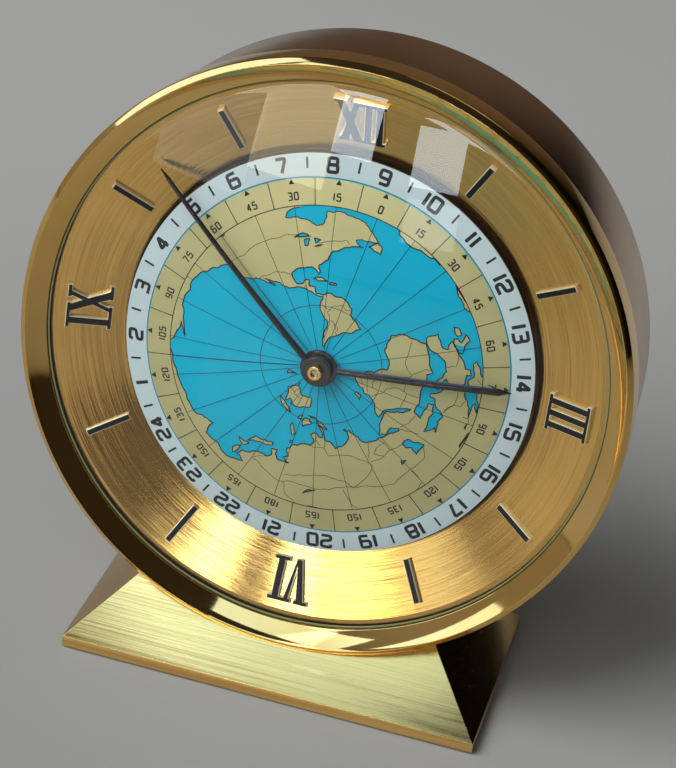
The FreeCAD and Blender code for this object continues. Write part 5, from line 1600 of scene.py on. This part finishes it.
# Base
@dataclass
class Base:
    """Hipped base block with its saddle, and the felt under it."""

    width: float = 82.1
    depth: float = 43.0
    foot: float = 0.4
    lip: float = 2.24
    rise: float = 18.0
    edge: float = 0.16
    drum_radius: float = 56.08
    bezel_radius: float = 57.48
    drum_front: float = -1.15
    bezel_back: float = -2.15
    cutter_front: float = 60.0
    cutter_back: float = -66.0
    recess_inset: float = 2.2
    recess: float = 0.4

    def cutter(self, name: str, radius: float, front: float, back: float) -> bpy.types.Object:
        """Turn a round cutter and put it where the clock stands."""
        tool = Bench.turned(name, [(0.0, front), (radius, front), (radius, back), (0.0, back)],
                            320)
        tool.data.transform(LEANING)
        return tool

    def build(self) -> bpy.types.Object:
        """Shape the block from a slab, cut the saddle and dress each face."""
        bpy.ops.object.select_all(action="DESELECT")
        bpy.ops.mesh.primitive_cube_add(size=1.0)
        block = bpy.context.object
        block.name = "base_hipped"
        block.data.transform(Matrix.Translation((0, 0, (self.foot + self.lip / 2) * MM))
                             @ Matrix.Diagonal((self.width * MM, self.depth * MM,
                                                self.lip * MM, 1.0)))
        with Bench.edit(block, Pick.FACES):
            Bench.choose(block, lambda face: face.normal.z > 0.5)
            bpy.ops.mesh.extrude_region_move(
                TRANSFORM_OT_translate={"value": (0, 0, self.rise * MM)})
            bpy.ops.transform.resize(value=((self.width - 2 * self.rise) / self.width,
                                            (self.depth - 2 * self.rise) / self.depth, 1.0),
                                     center_override=(0, 0, 0))
            Bench.choose(block, lambda face: face.normal.z < -0.5)
            bpy.ops.mesh.inset(thickness=self.recess_inset * MM, depth=0.0)
            bpy.ops.mesh.extrude_region_move(
                TRANSFORM_OT_translate={"value": (0, 0, self.recess * MM)})
            bpy.ops.mesh.select_all(action="SELECT")
            bpy.ops.mesh.normals_make_consistent(inside=False)
        Bench.modify(block, "BEVEL", width=self.edge * MM, segments=3, limit_method="ANGLE",
                     angle_limit=math.radians(25.0))
        Bench.cut(block, self.cutter("drum_cutter", self.drum_radius, self.drum_front,
                                     self.cutter_back))
        Bench.cut(block, self.cutter("bezel_cutter", self.bezel_radius, self.cutter_front,
                                     self.bezel_back))
        # Slopes brushed, hips and ends in the darker gilt that is painted shade, front and back lip
        # brushed
        for finish in (BRUSHED, GILT_SIDE_PAINTED_SHADE, LIP_GOLD):
            block.data.materials.append(finish.made())
        for face in block.data.polygons:
            normal = face.normal
            if abs(normal.x) > 0.6 and normal.z > 0.3:
                face.material_index = 1
            elif abs(normal.z) < 0.5:
                face.material_index = 2 if abs(normal.y) > 0.6 else 1
            else:
                face.material_index = 0
        return Bench.done(block, "clock_case", Slot.BRUSHED_GOLD, BRUSHED, STANDING,
                          ["base_block"], 25.0)

    def felt(self) -> bpy.types.Object:
        """Felt pad with softened edges."""
        low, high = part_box("base_felt")
        bpy.ops.object.select_all(action="DESELECT")
        bpy.ops.mesh.primitive_cube_add(size=1.0)
        pad = bpy.context.object
        pad.name = "felt_pad"
        size, middle = high - low, (high + low) / 2
        pad.data.transform(Matrix.Translation(middle) @ Matrix.Diagonal((*size, 1.0)))
        Bench.modify(pad, "BEVEL", width=0.22 * MM, segments=3)
        with Bench.edit(pad, Pick.FACES):
            bpy.ops.mesh.subdivide(number_cuts=3)
        return Bench.done(pad, "clock_case", Slot.FELT_GREEN, FELT, STANDING, ["base_felt"])


# Back and movement
class Fittings:
    """CAD nodes that stay, and smoothed copies of the round ones that are seen."""

    ROUNDED = {"set_knob": "set_knob_body", "map_knob": "map_knob_body",
               "winding_key": "winding_body", "rear_screws": "clock_case"}
    OWN_FINISH: dict[str, Finish] = {"hour_batons": MARKER_GILT_PAINTED_GLINT, "roman_numerals": MARKER_GILT_PAINTED_GLINT}

    def __init__(self, frame: dict[str, Any]) -> None:
        """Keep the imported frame."""
        self.frame = frame

    def dress(self) -> None:
        """Give every CAD node the finish of its slot."""
        for part in self.frame["record"]["subparts"]:
            node = self.frame["nodes"].get(part["node"])
            if node is None:
                continue
            finish = SLOT_FINISH[Slot(part["material_slot"])]
            self.OWN_FINISH.get(part["node"], finish).on(node)
        LOG.info("%d nodes dressed", len(self.frame["nodes"]))

    def rounded(self) -> None:
        """Replace the seen turned nodes by welded, smooth and softly edged copies."""
        slots = {part["node"]: Slot(part["material_slot"])
                 for part in self.frame["record"]["subparts"]}
        for name, body in self.ROUNDED.items():
            node = self.frame["nodes"][name]
            piece = bpy.data.objects.new("smooth_" + name, node.data.copy())
            bpy.context.scene.collection.objects.link(piece)
            with Bench.edit(piece):
                bpy.ops.mesh.remove_doubles(threshold=WELD)
            Bench.modify(piece, "BEVEL", width=0.12 * MM, segments=2, limit_method="ANGLE",
                         angle_limit=math.radians(40.0))
            piece.data.materials.clear()
            Bench.done(piece, body, slots[name], SLOT_FINISH[slots[name]], STANDING, [name],
                       35.0)


# Studio
WINDOW_LIGHT = (0.97, 1.42, 2.1)
DAYLIGHT = (0.88, 1.0, 1.10)


class Role(Enum):
    """What a lamp does: it lights matt faces, or it is seen in polished ones."""

    LIGHT = "light"
    GLINT = "glint"


@dataclass
class Softbox:
    """A soft lamp seen from the clock as a rectangle of sky."""

    name: str
    azimuth: float
    elevation: float
    across_deg: float
    up_deg: float
    radiance: float
    colour: Colour = (0.95, 0.98, 1.0)
    role: Role = Role.GLINT
    distance: float = 1.3

    def build(self) -> None:
        """Hang the lamp and turn it to the clock."""
        around, up = math.radians(self.azimuth), math.radians(self.elevation)
        away = Vector((math.sin(around) * math.cos(up), math.cos(around) * math.cos(up),
                       math.sin(up)))
        lamp = bpy.data.lights.new(self.name, "AREA")
        lamp.shape = "RECTANGLE"
        lamp.size = 2 * self.distance * math.tan(math.radians(self.across_deg) / 2)
        lamp.size_y = 2 * self.distance * math.tan(math.radians(self.up_deg) / 2)
        lamp.energy = self.radiance * math.pi * lamp.size * lamp.size_y
        lamp.color = self.colour
        holder = bpy.data.objects.new(self.name, lamp)
        holder.location = CLOCK_MIDDLE + away * self.distance
        holder.rotation_euler = (-away).to_track_quat("-Z", "Y").to_euler()
        holder.visible_glossy = self.role is Role.GLINT
        holder.visible_diffuse = self.role is Role.LIGHT
        holder.visible_camera = False
        bpy.context.scene.collection.objects.link(holder)


class Studio:
    """Camera, floor, lamps and surround."""

    CAMERA_AT = (0.081978, -0.357509, 0.278418)
    CAMERA_TURN = (58.941, -5.821, 16.030)
    LENS = 108.235
    SENSOR = 36.0
    NEAR_CLIP = 0.01
    FLOOR_RADIUS = 4.0

    def camera(self) -> None:
        """Set the camera at the photograph's place."""
        data = bpy.data.cameras.new("view")
        data.sensor_width = self.SENSOR
        data.lens = self.LENS
        data.clip_start = self.NEAR_CLIP
        holder = bpy.data.objects.new("view", data)
        holder.location = self.CAMERA_AT
        holder.rotation_euler = [math.radians(angle) for angle in self.CAMERA_TURN]
        bpy.context.scene.collection.objects.link(holder)
        bpy.context.scene.camera = holder

    def floor(self) -> None:
        """Lay the pale floor."""
        bpy.ops.object.select_all(action="DESELECT")
        bpy.ops.mesh.primitive_circle_add(vertices=96, radius=self.FLOOR_RADIUS,
                                          fill_type="NGON")
        ground = bpy.context.object
        ground.name = "floor"
        Floor().on(ground)

    def surround(self) -> None:
        """Paint the room that the polished metal reflects."""
        world = bpy.data.worlds.new("room")
        bpy.context.scene.world = world
        world.use_nodes = True
        paint = Paint(world.node_tree)
        way = paint.node("ShaderNodeTexCoord", {}, {}, "Generated")
        x, y, z = paint.parts(way)
        left = (x * -0.92 + y * -0.39).ramp(0.25, 0.85)
        high = z.ramp(0.75, 1.0)
        behind = (y * 0.97 + x * -0.26).ramp(0.80, 0.97)
        front = (y * -1.0).ramp(0.82, 0.94)
        near = (y * -1.0).ramp(0.36, 0.50)
        corner = paint.mix(near, (0.003, 0.003, 0.002), (0.026, 0.021, 0.018))
        shade = paint.mix(behind, corner, (0.115, 0.082, 0.056))
        room = paint.mix(front, shade, (0.12, 0.11, 0.095))
        wall = paint.mix(left, room, (0.24, 0.235, 0.225))
        sky = paint.mix(high, wall, (0.035, 0.035, 0.035))
        light = paint.node("ShaderNodeBackground", {}, {"Color": sky, "Strength": 1.0})
        end = paint.tree.nodes.new("ShaderNodeOutputWorld")
        paint.tree.links.new(light.socket, end.inputs["Surface"])

    def lamps(self) -> None:
        """Hang the soft lamps where the photograph's windows stand."""
        boxes = [
            Softbox("window_left", -106.0, 40.0, 23.0, 44.0, 1.0, WINDOW_LIGHT),
            Softbox("window_front_left", -144.0, 51.0, 15.0, 18.0, 1.0, WINDOW_LIGHT),
            Softbox("window_front_right", -166.0, 51.0, 26.0, 18.0, 0.95, WINDOW_LIGHT),
            Softbox("curtain", -148.5, 13.0, 13.0, 14.0, 1.2, DAYLIGHT),
            Softbox("sky_pane_far", -160.2, 16.5, 10.5, 13.0, 5.0, (1.0, 0.9, 0.66)),
            Softbox("sky_pane_left", -168.3, 19.0, 5.5, 7.5, 10.0, DAYLIGHT),
            Softbox("sky_pane_right", 179.8, 17.5, 6.5, 8.0, 8.0, DAYLIGHT),
            Softbox("sky_pane_low", 179.4, 9.0, 7.0, 6.0, 2.5, DAYLIGHT),
            Softbox("floor_card", -166.0, -20.0, 34.0, 24.0, 0.2, (1.0, 0.9, 0.75),
                    distance=0.13),
            Softbox("rear_lamp", 20.0, 50.0, 24.0, 20.0, 1.2, DAYLIGHT),
            Softbox("key", -128.0, 50.0, 40.0, 36.0, 6.6, role=Role.LIGHT, distance=2.6),
            Softbox("front", -160.0, 25.0, 30.0, 24.0, 2.6, role=Role.LIGHT, distance=2.6),
            Softbox("fill", 150.0, 40.0, 50.0, 40.0, 0.6, role=Role.LIGHT),
        ]
        for box in boxes:
            box.build()

    def build(self) -> None:
        """Set the whole studio."""
        self.camera()
        self.floor()
        self.surround()
        self.lamps()
        bpy.context.scene.view_settings.view_transform = "Standard"


def main() -> None:
    """Build the clock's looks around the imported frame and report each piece."""
    logging.basicConfig(level=logging.INFO, format="%(message)s")
    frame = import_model()
    Bench.clear()
    Studio().build()
    fittings = Fittings(frame)
    fittings.dress()
    fittings.rounded()
    CaseFront().build()
    CaseDrum().build()
    Crystal().build()
    WorldMap(Dome()).build()
    HourRing().build()
    Markers(frame).build()
    Hand("hour_blade", "hour_hand", "hour_hand_body", 35.2, 3.5, 1.5, 3.9375, 85.7,
         (1.35, 1.45), 0.55).build()
    Hand("minute_blade", "minute_hand", "minute_hand_body", 45.8, 2.8, 1.05, 5.6875, 310.7,
         (1.4, 0.9), 1.35).build()
    HandNut().build()
    base = Base()
    base.build()
    base.felt()
    Bench.clear()


if __name__ == "__main__":
    main()
